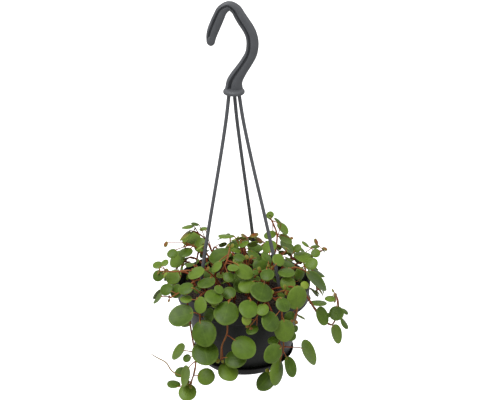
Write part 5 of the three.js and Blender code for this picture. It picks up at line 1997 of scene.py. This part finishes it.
@dataclass
class LeafyStem:
    """One leafy stem as a piece: its stem, petioles, leaves, tip leaves and flower spikes."""

    stem: Stem
    template: bpy.types.Mesh
    stem_sides: int = 7
    petiole_sides: int = 6
    stem_width: float = 1.15
    tip_width: float = 0.75
    petiole_width: float = 0.62
    cage: LeafCage = field(default_factory=LeafCage)

    def __post_init__(self) -> None:
        """Starts an empty mesh and the stem's own row of draws, from the letters of its name."""
        self.draw = Draws(sum(ord(letter) * (i + 3) for i, letter in enumerate(self.stem.name)))
        self.bm = bmesh.new()
        self.tint = self.bm.verts.layers.float_color.new("tint")
        self.spot = self.bm.verts.layers.float_vector.new("spot")

    def _tube(self, path: Sequence[Point], radii: Sequence[float], sides: int,
              greens: Sequence[float]) -> None:
        """Adds a round tube with its own green share at each ring.

        Args:
            path: The points that it follows.
            radii: Its radius at each point.
            sides: How many sides it has.
            greens: How green it is at each point.
        """
        before = len(self.bm.faces)
        rings = sweep(self.bm, circle(sides), path_frames(path, radii))
        for ring, green in zip(rings, greens):
            looks = (green, 0.0, 0.0, self.draw())
            for vert in ring:
                vert[self.tint] = looks
        self.bm.faces.ensure_lookup_table()
        new = self.bm.faces[before:]
        bmesh.ops.recalc_face_normals(self.bm, faces=new)
        for face in new:
            face.material_index = 1

    def _blade(self, leaf: Leaf, looks: Looks) -> None:
        """Adds the blade of a leaf.

        Args:
            leaf: The leaf.
            looks: Its colours.
        """
        before = len(self.bm.verts)
        self.bm.from_mesh(self.template)
        self.bm.verts.ensure_lookup_table()
        new = self.bm.verts[before:]
        phases = (math.tau * self.draw(), math.tau * self.draw())
        pointed = min(max((leaf.long - 9) / 9, 0.0), 1.0) * (0.5 + 0.5 * self.draw())
        # The leaf's lightness: on measured leaves partly painted light and painted shade, with a random
        # spread.
        tone = min(max(looks.tone + 0.5 * (self.draw() - 0.5), 0.0), 1.0)
        colours = (tone, looks.youth, looks.blush, self.draw())
        for vert in new:
            vert[self.spot] = (vert.co.x, vert.co.y, 1.0 if vert.co.z > -0.5 else 0.0)
            vert[self.tint] = colours
            vert.co = self.cage.place(leaf, vert.co, phases, pointed)

    def _petiole(self, leaf: Leaf, looks: Looks) -> None:
        """Adds the petiole of a leaf, from its stem into the underside of the blade.

        Args:
            leaf: The leaf.
            looks: Its colours.
        """
        joint = add(leaf.base, scale(leaf.normal, -leaf.dome / 2))
        inside = add(joint, add(
            scale(leaf.along, 0.16 * leaf.long),
            scale(leaf.normal, -0.2 * leaf.thickness * (sign(leaf.dome) or 1.0)),
        ))
        reach = length(sub(joint, leaf.start))
        bow = scale(leaf.normal, min(0.07 * reach, 0.35))
        bowed = [add(mix(leaf.start, joint, share), bow) for share in (0.35, 0.7)]
        path = smooth([leaf.start, *bowed, joint, inside], 2)
        last = len(path) - 1
        slim = self.petiole_width * min(1.0, 0.55 + leaf.long / 30)
        radii = [slim * (1.25 - 0.35 * math.sin(math.pi * i / last)) for i in range(last + 1)]
        green = 0.35 + 0.3 * self.draw() - 0.5 * looks.blush
        greens = [max(green * i / last + 0.5 * (i / last) ** 3, 0.0) for i in range(last + 1)]
        self._tube(path, radii, self.petiole_sides, greens)

    def _stalk(self) -> None:
        """Adds the stem itself, thicker where petioles leave it and slimmer to its tip."""
        path = [self.stem.row[0], *smooth(self.stem.row[1:], 5)]
        marks = [0.0]
        for a, b in zip(path, path[1:]):
            marks.append(marks[-1] + length(sub(b, a)))
        radii = []
        for point, mark in zip(path, marks):
            away = [length(sub(leaf.start, point)) / 1.6 for leaf in self.stem.leaves]
            swell = sum(math.exp(-(share ** 2)) for share in away)
            slim = self.stem_width + (self.tip_width - self.stem_width) * (mark / marks[-1])
            radii.append(slim * (1 + 0.22 * min(swell, 1.0)))
        greens = [0.08 + 0.42 * (mark / marks[-1]) ** 2 for mark in marks]
        self._tube(path, radii, self.stem_sides, greens)

    def _spike(self, row: Sequence[Point]) -> None:
        """Adds a thin flower spike, beaded all along.

        Args:
            row: The points that it follows.
        """
        path = spaced(smooth(row, 8), 44)
        last = len(path) - 1
        radii = []
        for i in range(last + 1):
            bead = 0.1 * (i % 2) + 0.08 * self.draw()
            body = 0.42 if i < 0.4 * last else 0.62
            radii.append((body + bead) * (1 - 0.45 * (i / last) ** 6))
        greens = [0.75 + 0.25 * i / last for i in range(last + 1)]
        self._tube(path, radii, self.petiole_sides, greens)

    def _late_leaf(self, seen: SeenLeaf) -> Leaf:
        """Hangs a small leaf that only the finished plant has from the nearest point of the stem.

        Args:
            seen: The leaf as it shows in the view.

        Returns:
            The leaf.
        """
        centre = VIEW.seen(seen.x, seen.y, seen.out)
        normal = facing_normal(centre, seen)
        row = self.stem.row
        starts = [mix(a, b, t) for a, b in zip(row[1:], row[2:]) for t in (0.2, 0.6, 1.0)]
        start = min(starts, key=lambda point: length(sub(point, centre)))
        along = unit(flatten(sub(centre, start), normal))
        return Leaf.of(start, centre, normal, along, seen.long, seen.face)

    def _tip_leaves(self) -> list[Leaf]:
        """Returns the pair of tiny leaves at the growing tip."""
        end = self.stem.row[-1]
        way = unit(sub(end, self.stem.row[-2]))
        outward = unit(add(unit((end[0], end[1], 0.0)), (0.0, 0.0, 0.6)))
        aside = unit(cross(way, outward))
        leaves = []
        for hand in (-1, 1):
            long = 2.6 + 2.0 * self.draw()
            normal = unit(add(outward, scale(aside, 0.5 * (self.draw() - 0.5))))
            course = add(scale(way, 0.4 + 0.4 * self.draw()), scale(aside, 0.8 * hand))
            along = unit(flatten(course, normal))
            base = add(end, add(scale(along, 0.8), scale(normal, 0.5)))
            leaves.append(Leaf.of(end, add(base, scale(along, long / 2)), normal, along, long))
        return leaves

    def _looks_of(self, leaf: Leaf, index: int) -> Looks:
        """Chooses the colours of a leaf: its own where it has some, else drawn, younger near the tip.

        Args:
            leaf: The leaf.
            index: Its place in the stem's list.

        Returns:
            Its colours.
        """
        # A measured leaf keeps its own tint, whose deep and light kinds are painted shade and painted light.
        if leaf.tint is not Tint.MATURE:
            return leaf.tint.value
        # Drawn leaves get the deep or the light kind at random, as real darker and lighter greens.
        drawn = self.draw()
        if index < 2 and leaf.long < 13 and drawn < 0.45:
            return Tint.YOUNG.value
        return (Tint.DEEP if drawn > 0.8 else Tint.LIGHT if drawn < 0.25 else Tint.MATURE).value

    def build(self, materials: Sequence[Material]) -> Piece:
        """Builds the leafy stem.

        Args:
            materials: The leaf's and the stem's material.

        Returns:
            The piece, which stands for the solid of the same stem.
        """
        self._stalk()
        for row in self.stem.spikes:
            self._spike(row)
        dressed = [(leaf, self._looks_of(leaf, i)) for i, leaf in enumerate(self.stem.leaves)]
        for seen in LATE_LEAVES.get(self.stem.name, ()):
            dressed.append((self._late_leaf(seen), seen.tint.value))
        for leaf in self._tip_leaves():
            dressed.append((leaf, (Tint.BRONZE if self.draw() < 0.5 else Tint.BROWN).value))
        for leaf, looks in dressed:
            self._petiole(leaf, looks)
            self._blade(leaf, looks)
        name = self.stem.name.replace("stem_", "leafy_stem_")
        piece = finished(name, self.bm, materials, 180.0)
        subdivided(piece, 1)
        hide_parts(self.stem.name)
        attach(piece, "root")
        return piece


class Wiring:
    """A short way to set and wire the nodes of a material or a node group."""

    def __init__(self, tree: bpy.types.NodeTree) -> None:
        """Wraps a node tree."""
        self.tree = tree

    def node(self, kind: str, inputs: dict | None = None, **settings: object) -> Node:
        """Adds a node.

        Args:
            kind: Its Blender type.
            inputs: Values or sockets for its inputs, by name or number.
            settings: Values for its own properties.

        Returns:
            The node.
        """
        node = self.tree.nodes.new(kind)
        for name, value in settings.items():
            setattr(node, name, value)
        self.feed(node, inputs or {})
        return node

    def feed(self, node: Node, inputs: dict) -> None:
        """Sets or wires the inputs of a node.

        Args:
            node: The node.
            inputs: Values or sockets for its inputs, by name or number.
        """
        for key, value in inputs.items():
            if isinstance(value, Socket):
                self.tree.links.new(value, node.inputs[key])
            else:
                node.inputs[key].default_value = value

    def math(self, operation: str, *values: Value) -> Socket:
        """Adds a maths node and returns its output."""
        return self.node("ShaderNodeMath", dict(enumerate(values)), operation=operation).outputs[0]

    def plus(self, a: Value, b: Value) -> Socket:
        """Adds an addition and returns its output."""
        return self.math("ADD", a, b)

    def less(self, a: Value, b: Value) -> Socket:
        """Adds a subtraction of b from a and returns its output."""
        return self.math("SUBTRACT", a, b)

    def times(self, a: Value, b: Value) -> Socket:
        """Adds a multiplication and returns its output."""
        return self.math("MULTIPLY", a, b)

    def blend(self, share: Value, a: Color | Socket, b: Color | Socket) -> Socket:
        """Adds a colour mix and returns its output."""
        return self.node("ShaderNodeMix", {0: share, 6: a, 7: b}, data_type="RGBA").outputs[2]

    def remap(self, value: Socket, low: float, high: float, to_low: float = 0.0,
              to_high: float = 1.0) -> Socket:
        """Adds a clamped map range and returns its output."""
        node = self.node("ShaderNodeMapRange", {0: value, 1: low, 2: high, 3: to_low, 4: to_high})
        return node.outputs[0]

    def noise(self, vector: Socket, size: Value, detail: float, rough: float = 0.5) -> Socket:
        """Adds a noise texture and returns its value."""
        inputs = {"Vector": vector, "Scale": size, "Detail": detail, "Roughness": rough}
        return self.node("ShaderNodeTexNoise", inputs).outputs["Fac"]

    def relief(self, height: Socket, strength: float, distance: float) -> Socket:
        """Adds a bump node and returns its normal."""
        inputs = {"Height": height, "Strength": strength, "Distance": distance}
        return self.node("ShaderNodeBump", inputs).outputs["Normal"]


class EffectGroup:
    """A shader node group that more than one material uses, built once."""

    name = ""
    inputs: tuple[tuple[str, float], ...] = ()
    outputs: tuple[str, ...] = ()

    def tree(self) -> bpy.types.NodeTree:
        """Returns the group, built at its first use."""
        found = bpy.data.node_groups.get(self.name)
        if found is not None:
            return found
        tree = bpy.data.node_groups.new(self.name, "ShaderNodeTree")
        tree.interface.new_socket(name="Vector", in_out="INPUT", socket_type="NodeSocketVector")
        for name, value in self.inputs:
            socket = tree.interface.new_socket(name=name, in_out="INPUT", socket_type="NodeSocketFloat")
            socket.default_value = value
        for name in self.outputs:
            tree.interface.new_socket(name=name, in_out="OUTPUT", socket_type="NodeSocketFloat")
        wiring = Wiring(tree)
        given = wiring.node("NodeGroupInput")
        values = self.wire(wiring, {socket.name: socket for socket in given.outputs if socket.name})
        wiring.node("NodeGroupOutput", dict(zip(self.outputs, values)))
        return tree

    def wire(self, wiring: Wiring, given: dict[str, Socket]) -> tuple[Socket, ...]:
        """Wires the group's inside.

        Args:
            wiring: The group's nodes.
            given: Its inputs, by name.

        Returns:
            Its output values, in the order of its outputs.
        """
        raise NotImplementedError

    def placed(self, wiring: Wiring, vector: Socket, **values: float) -> Node:
        """Places the group in a material.

        Args:
            wiring: The material's nodes.
            vector: The coordinates that it reads.
            values: Its inputs, by name.

        Returns:
            The group's node.
        """
        return wiring.node("ShaderNodeGroup", {"Vector": vector, **values}, node_tree=self.tree())


class MouldGrain(EffectGroup):
    """The fine texture of a moulded surface, with slight flow marks."""

    name = "mould_grain"
    inputs = (("Grain", 2600.0), ("Flow", 120.0))
    outputs = ("Height", "Cloud")

    def wire(self, wiring: Wiring, given: dict[str, Socket]) -> tuple[Socket, ...]:
        """Wires fine grain over a slow cloud."""
        fine = wiring.noise(given["Vector"], given["Grain"], 2.0)
        cloud = wiring.noise(given["Vector"], given["Flow"], 3.0, 0.6)
        height = wiring.plus(wiring.times(fine, 0.7), wiring.times(cloud, 0.3))
        return height, cloud


class Scuffs(EffectGroup):
    """Short thin scratches in two directions, in patches."""

    name = "scuffs"
    inputs = (("Scale", 240.0), ("Amount", 0.4))
    outputs = ("Mask",)

    def wire(self, wiring: Wiring, given: dict[str, Socket]) -> tuple[Socket, ...]:
        """Wires two stretched noises, thinned to lines and broken into patches."""
        lines = []
        for turn, stretch in ((0.7, (1.0, 9.0, 1.0)), (-0.5, (9.0, 1.0, 1.6))):
            mapping = wiring.node(
                "ShaderNodeMapping",
                {"Vector": given["Vector"], "Rotation": (turn, turn, turn), "Scale": stretch},
            )
            value = wiring.noise(mapping.outputs[0], given["Scale"], 3.0)
            away = wiring.math("ABSOLUTE", wiring.less(value, 0.5))
            lines.append(wiring.remap(away, 0.0, 0.012, 1.0, 0.0))
        patches = wiring.remap(wiring.noise(given["Vector"], 45.0, 2.0), 0.5, 0.66)
        both = wiring.math("MAXIMUM", lines[0], lines[1])
        return (wiring.times(wiring.times(both, patches), given["Amount"]),)


class Dust(EffectGroup):
    """A film of dust and compost on what faces up."""

    name = "dust"
    inputs = (("Amount", 0.3),)
    outputs = ("Mask",)

    def wire(self, wiring: Wiring, given: dict[str, Socket]) -> tuple[Socket, ...]:
        """Wires the upward share of the normal, broken up by noise."""
        geometry = wiring.node("ShaderNodeNewGeometry")
        normal = wiring.node("ShaderNodeSeparateXYZ", {0: geometry.outputs["Normal"]})
        upward = wiring.remap(normal.outputs["Z"], 0.2, 1.0)
        specks = wiring.remap(wiring.noise(given["Vector"], 420.0, 4.0, 0.7), 0.42, 0.7)
        share = wiring.plus(wiring.times(upward, 0.7), 0.3)
        return (wiring.times(wiring.times(specks, share), given["Amount"]),)


class Mottle(EffectGroup):
    """The slow and the fine variation of a living surface."""

    name = "mottle"
    inputs = (("Slow", 160.0), ("Fine", 900.0))
    outputs = ("Slow", "Fine")

    def wire(self, wiring: Wiring, given: dict[str, Socket]) -> tuple[Socket, ...]:
        """Wires a slow noise and a fine one."""
        slow = wiring.remap(wiring.noise(given["Vector"], given["Slow"], 2.0), 0.3, 0.7)
        fine = wiring.remap(wiring.noise(given["Vector"], given["Fine"], 3.0, 0.6), 0.3, 0.7)
        return slow, fine


def new_material(name: str) -> tuple[Material, Wiring, Node, Socket]:
    """Starts a material.

    Args:
        name: Its name.

    Returns:
        The material, its wiring, its shader and its object coordinates.
    """
    material = bpy.data.materials.new(name)
    material.use_nodes = True
    wiring = Wiring(material.node_tree)
    shader = material.node_tree.nodes["Principled BSDF"]
    coordinates = wiring.node("ShaderNodeTexCoord").outputs["Object"]
    return material, wiring, shader, coordinates


@dataclass(frozen=True)
class Plastic:
    """A moulded plastic with fine grain, scuffs and a little dust."""

    name: str
    color: Color
    worn: Color
    dusty: Color
    roughness: float
    gloss: float
    scuffs: float
    dust: float
    grain_depth: float = 0.00012

    def material(self) -> Material:
        """Returns the material, built from this finish."""
        material, wiring, shader, place = new_material(self.name)
        grain = MouldGrain().placed(wiring, place)
        scuffs = Scuffs().placed(wiring, place, Amount=self.scuffs)
        dust = Dust().placed(wiring, place, Amount=self.dust)
        cloud = wiring.remap(grain.outputs["Cloud"], 0.3, 0.7)
        shade = tuple(channel * 0.82 for channel in self.color[:3]) + (1.0,)
        body = wiring.blend(cloud, shade, self.color)
        scratched = wiring.blend(scuffs.outputs["Mask"], body, self.worn)
        dusted = wiring.blend(dust.outputs["Mask"], scratched, self.dusty)
        rough = wiring.plus(
            wiring.remap(cloud, 0.0, 1.0, self.roughness - 0.05, self.roughness + 0.05),
            wiring.times(wiring.plus(scuffs.outputs["Mask"], dust.outputs["Mask"]), 0.3),
        )
        wiring.feed(shader, {
            "Specular IOR Level": self.gloss,
            "Base Color": dusted,
            "Roughness": rough,
            "Normal": wiring.relief(grain.outputs["Height"], 0.35, self.grain_depth),
        })
        return material


@dataclass(frozen=True)
class LeafFlesh:
    """The thick blade: green, its lightness partly painted light and shade on measured leaves, with a
    painted highlight along its rim and faint veins, paler and duller underneath.
    """

    name: str = "leaf_flesh"
    deep: Color = (0.041, 0.079, 0.004, 1.0)
    light: Color = (0.090, 0.157, 0.012, 1.0)
    # A lighter green along the blade's rim: a painted highlight.
    rim: Color = (0.150, 0.215, 0.034, 1.0)
    vein: Color = (0.110, 0.175, 0.025, 1.0)
    young: Color = (0.235, 0.325, 0.038, 1.0)
    brown: Color = (0.230, 0.062, 0.018, 1.0)
    under: Color = (0.135, 0.190, 0.034, 1.0)
    roughness: float = 0.36
    under_roughness: float = 0.55
    gloss: float = 0.22

    def _veins(self, wiring: Wiring, u: Socket, v: Socket, reach: Socket) -> Socket:
        """Wires the faint veins that fan out from the petiole.

        Args:
            wiring: The material's nodes.
            u: Place along the leaf.
            v: Place across it.
            reach: Distance from its middle.

        Returns:
            The mask of the veins.
        """
        ahead = wiring.plus(u, 1.15)
        bend = wiring.times(wiring.math("ABSOLUTE", v), 0.35)
        fan = wiring.math("ARCTAN2", v, wiring.plus(ahead, bend))
        wave = wiring.math("COSINE", wiring.times(fan, 9.0))
        lines = wiring.remap(wave, 0.9, 1.0)
        return wiring.times(lines, wiring.remap(reach, 0.35, 0.95, 1.0, 0.0))

    def material(self) -> Material:
        """Returns the material, built from this finish."""
        material, wiring, shader, place = new_material(self.name)
        spot = wiring.node("ShaderNodeAttribute", attribute_name="spot")
        axes = wiring.node("ShaderNodeSeparateXYZ", {0: spot.outputs["Vector"]})
        u, v, top = axes.outputs["X"], axes.outputs["Y"], axes.outputs["Z"]
        tint = wiring.node("ShaderNodeAttribute", attribute_name="tint")
        kinds = wiring.node("ShaderNodeSeparateColor", {0: tint.outputs["Color"]})
        tone, youth, blush = (kinds.outputs[name] for name in ("Red", "Green", "Blue"))
        reach = wiring.math("SQRT", wiring.plus(wiring.times(u, u), wiring.times(v, v)))
        mottle = Mottle().placed(wiring, place)
        slow, fine = mottle.outputs["Slow"], mottle.outputs["Fine"]
        veins = self._veins(wiring, u, v, reach)
        # The band along the rim where the painted highlight is laid.
        rim = wiring.remap(reach, 0.86, 1.0)
        # The leaf's tone, which on measured leaves carries painted light and painted shade, swayed by a slow
        # mottle.
        shade = wiring.plus(tone, wiring.times(wiring.less(slow, 0.5), 0.5))
        green = wiring.blend(shade, self.deep, self.light)
        veined = wiring.blend(wiring.times(veins, 0.22), green, self.vein)
        rim_highlighted = wiring.blend(wiring.times(rim, 0.5), veined, self.rim)
        grown = wiring.blend(youth, rim_highlighted, self.young)
        inner = wiring.less(1.25, reach)
        browned = wiring.blend(wiring.times(blush, inner), grown, self.brown)
        below = wiring.less(1.0, top)
        pale = wiring.blend(wiring.times(below, 0.8), browned, self.under)
        specks = wiring.times(wiring.less(fine, 0.5), 0.14)
        value = wiring.plus(1.0, specks)
        color = wiring.node("ShaderNodeHueSaturation", {"Value": value, "Color": pale})
        rough = wiring.plus(
            wiring.remap(below, 0.0, 1.0, self.roughness, self.under_roughness),
            wiring.times(fine, 0.08),
        )
        relief = wiring.plus(wiring.times(fine, 0.6), wiring.times(veins, -0.5))
        wiring.feed(shader, {
            "Specular IOR Level": self.gloss,
            "Base Color": color.outputs[0],
            "Roughness": rough,
            "Normal": wiring.relief(relief, 0.3, 0.0002),
        })
        return material


@dataclass(frozen=True)
class StemSkin:
    """The stems and petioles: brownish red, greener towards the leaves."""

    name: str = "stem_skin"
    red: Color = (0.285, 0.046, 0.017, 1.0)
    brown: Color = (0.145, 0.031, 0.014, 1.0)
    green: Color = (0.240, 0.150, 0.030, 1.0)
    roughness: float = 0.42
    gloss: float = 0.22

    def material(self) -> Material:
        """Returns the material, built from this finish."""
        material, wiring, shader, place = new_material(self.name)
        tint = wiring.node("ShaderNodeAttribute", attribute_name="tint")
        kinds = wiring.node("ShaderNodeSeparateColor", {0: tint.outputs["Color"]})
        mottle = Mottle().placed(wiring, place, Slow=220.0, Fine=1400.0)
        skin = wiring.blend(mottle.outputs["Slow"], self.brown, self.red)
        streak = wiring.times(wiring.less(mottle.outputs["Fine"], 0.5), 0.3)
        share = wiring.plus(kinds.outputs["Red"], streak)
        clamped = wiring.remap(share, 0.0, 1.0)
        fine = mottle.outputs["Fine"]
        wiring.feed(shader, {
            "Specular IOR Level": self.gloss,
            "Base Color": wiring.blend(clamped, skin, self.green),
            "Roughness": wiring.remap(fine, 0.0, 1.0, self.roughness, self.roughness + 0.15),
            "Normal": wiring.relief(fine, 0.4, 0.0002),
        })
        return material


@dataclass(frozen=True)
class Compost:
    """Dark crumbly peat with lighter fibres."""

    name: str = "peat_compost"
    dark: Color = (0.010, 0.007, 0.005, 1.0)
    brown: Color = (0.045, 0.026, 0.015, 1.0)
    fibre: Color = (0.140, 0.090, 0.050, 1.0)
    roughness: float = 0.9

    def material(self) -> Material:
        """Returns the material, built from this finish."""
        material, wiring, shader, place = new_material(self.name)
        mottle = Mottle().placed(wiring, place, Slow=260.0, Fine=1500.0)
        cells = wiring.node("ShaderNodeTexVoronoi", {"Vector": place, "Scale": 520.0})
        grains = wiring.node("ShaderNodeSeparateColor", {0: cells.outputs["Color"]})
        body = wiring.blend(mottle.outputs["Slow"], self.dark, self.brown)
        bright = wiring.remap(grains.outputs["Red"], 0.86, 1.0)
        fine = mottle.outputs["Fine"]
        wiring.feed(shader, {
            "Base Color": wiring.blend(wiring.times(bright, 0.6), body, self.fibre),
            "Roughness": wiring.remap(fine, 0.0, 1.0, self.roughness - 0.1, 1.0),
            "Normal": wiring.relief(wiring.plus(cells.outputs["Distance"], fine), 0.8, 0.0008),
        })
        return material


POT_PLASTIC = Plastic(
    "anthracite_plastic", (0.011, 0.012, 0.011, 1.0), (0.050, 0.051, 0.050, 1.0),
    (0.060, 0.053, 0.042, 1.0), 0.40, 0.2, 0.35, 0.12,
)
# The saucer's black plastic, made darker than the pot's to stand in for the shade under the pot: its own
# black and painted shade.
SAUCER_PLASTIC_AND_PAINTED_SHADE = Plastic(
    "black_plastic", (0.003, 0.003, 0.003, 1.0), (0.014, 0.014, 0.014, 1.0),
    (0.030, 0.027, 0.022, 1.0), 0.42, 0.04, 0.25, 0.05,
)
HANGER_PLASTIC = Plastic(
    "grey_plastic", (0.080, 0.084, 0.092, 1.0), (0.140, 0.144, 0.152, 1.0),
    (0.160, 0.155, 0.145, 1.0), 0.46, 0.4, 0.2, 0.05,
)


@dataclass
class Studio:
    """The plain pale floor, the soft lights and the camera in front of the pot."""

    floor_drop: float = 0.42
    floor_size: float = 60.0
    floor_color: Color = (0.55, 0.55, 0.55, 1.0)
    floor_shade: Color = (0.50, 0.50, 0.50, 1.0)
    floor_glow: Color = (1.0, 1.0, 1.0, 1.0)
    sky: float = 0.78
    key_power: float = 150.0
    key_size: float = 2.8
    key_place: Point = (-1.5, -1.4, 3.6)
    fill_power: float = 25.0
    fill_size: float = 3.0
    fill_place: Point = (3.4, -1.6, 1.6)
    aim: Point = (0.01, 0.0, -0.2)
    film_width: float = 36.0

    def _floor(self, lowest: float) -> None:
        """Lays the floor well under the hanging plant.

        Args:
            lowest: The height of the plant's lowest point.
        """
        material, wiring, shader, place = new_material("pale_floor")
        cloud = wiring.noise(place, 3.0, 2.0)
        wiring.feed(shader, {
            "Base Color": wiring.blend(cloud, self.floor_shade, self.floor_color),
            "Roughness": 0.9,
            "Specular IOR Level": 0.1,
            "Emission Color": self.floor_glow,
            "Emission Strength": wiring.node("ShaderNodeLightPath").outputs["Is Camera Ray"],
        })
        bm = bmesh.new()
        bmesh.ops.create_grid(bm, x_segments=4, y_segments=4, size=self.floor_size / 2)
        bmesh.ops.translate(bm, vec=(0, 0, lowest - self.floor_drop), verts=bm.verts[:])
        floor = linked("studio_floor", mesh_of("studio_floor", bm))
        floor.data.materials.append(material)

    def _lamp(self, name: str, place: Point, power: float, size: float) -> None:
        """Hangs a square soft light that looks at the plant.

        Args:
            name: Its name.
            place: Where it hangs.
            power: Its power.
            size: Its side.
        """
        data = bpy.data.lights.new(name, "AREA")
        data.energy = power
        data.size = size
        lamp = linked(name, data)
        lamp.location = place
        lamp.rotation_euler = (Vector(self.aim) - Vector(place)).to_track_quat("-Z", "Y").to_euler()

    def _camera(self) -> None:
        """Sets the camera where the eye is."""
        data = bpy.data.cameras.new("camera")
        data.lens = VIEW.lens * self.film_width / VIEW.width
        data.sensor_width = self.film_width
        data.sensor_fit = "HORIZONTAL"
        data.clip_end = 200.0
        camera = linked("camera", data)
        camera.location = TO_FRAME @ Vector(VIEW.eye)
        camera.rotation_euler = (math.radians(90 - VIEW.look_down), 0.0, 0.0)
        bpy.context.scene.camera = camera

    def build(self) -> None:
        """Builds the floor, the lights, the sky and the camera."""
        scene = bpy.context.scene
        scene.view_settings.view_transform = "Standard"
        self._floor(CAD_BOX[0][2])
        self._lamp("key_light", self.key_place, self.key_power, self.key_size)
        self._lamp("fill_light", self.fill_place, self.fill_power, self.fill_size)
        world = bpy.data.worlds.new("studio_sky")
        world.use_nodes = True
        background = world.node_tree.nodes["Background"]
        background.inputs["Color"].default_value = (1.0, 1.0, 1.0, 1.0)
        background.inputs["Strength"].default_value = self.sky
        scene.world = world
        self._camera()


def main() -> None:
    """Builds every piece in order and reports it."""
    logging.basicConfig(level=logging.INFO, format="%(name)s: %(message)s")
    Studio().build()
    report(Hanger().build(HANGER_PLASTIC))
    report(Pot().build(POT_PLASTIC))
    report(Saucer().build(SAUCER_PLASTIC_AND_PAINTED_SHADE))
    report(SoilHeap().build(Compost()))
    plan = PlantPlan()
    log.info("plan: %d stems, %d leaves", len(plan.stems), sum(len(s.leaves) for s in plan.stems))
    template = LeafCage().template()
    materials = [LeafFlesh().material(), StemSkin().material()]
    for stem in plan.stems:
        report(LeafyStem(stem, template).build(materials))
    bpy.data.meshes.remove(template)


if __name__ == "__main__":
    main()
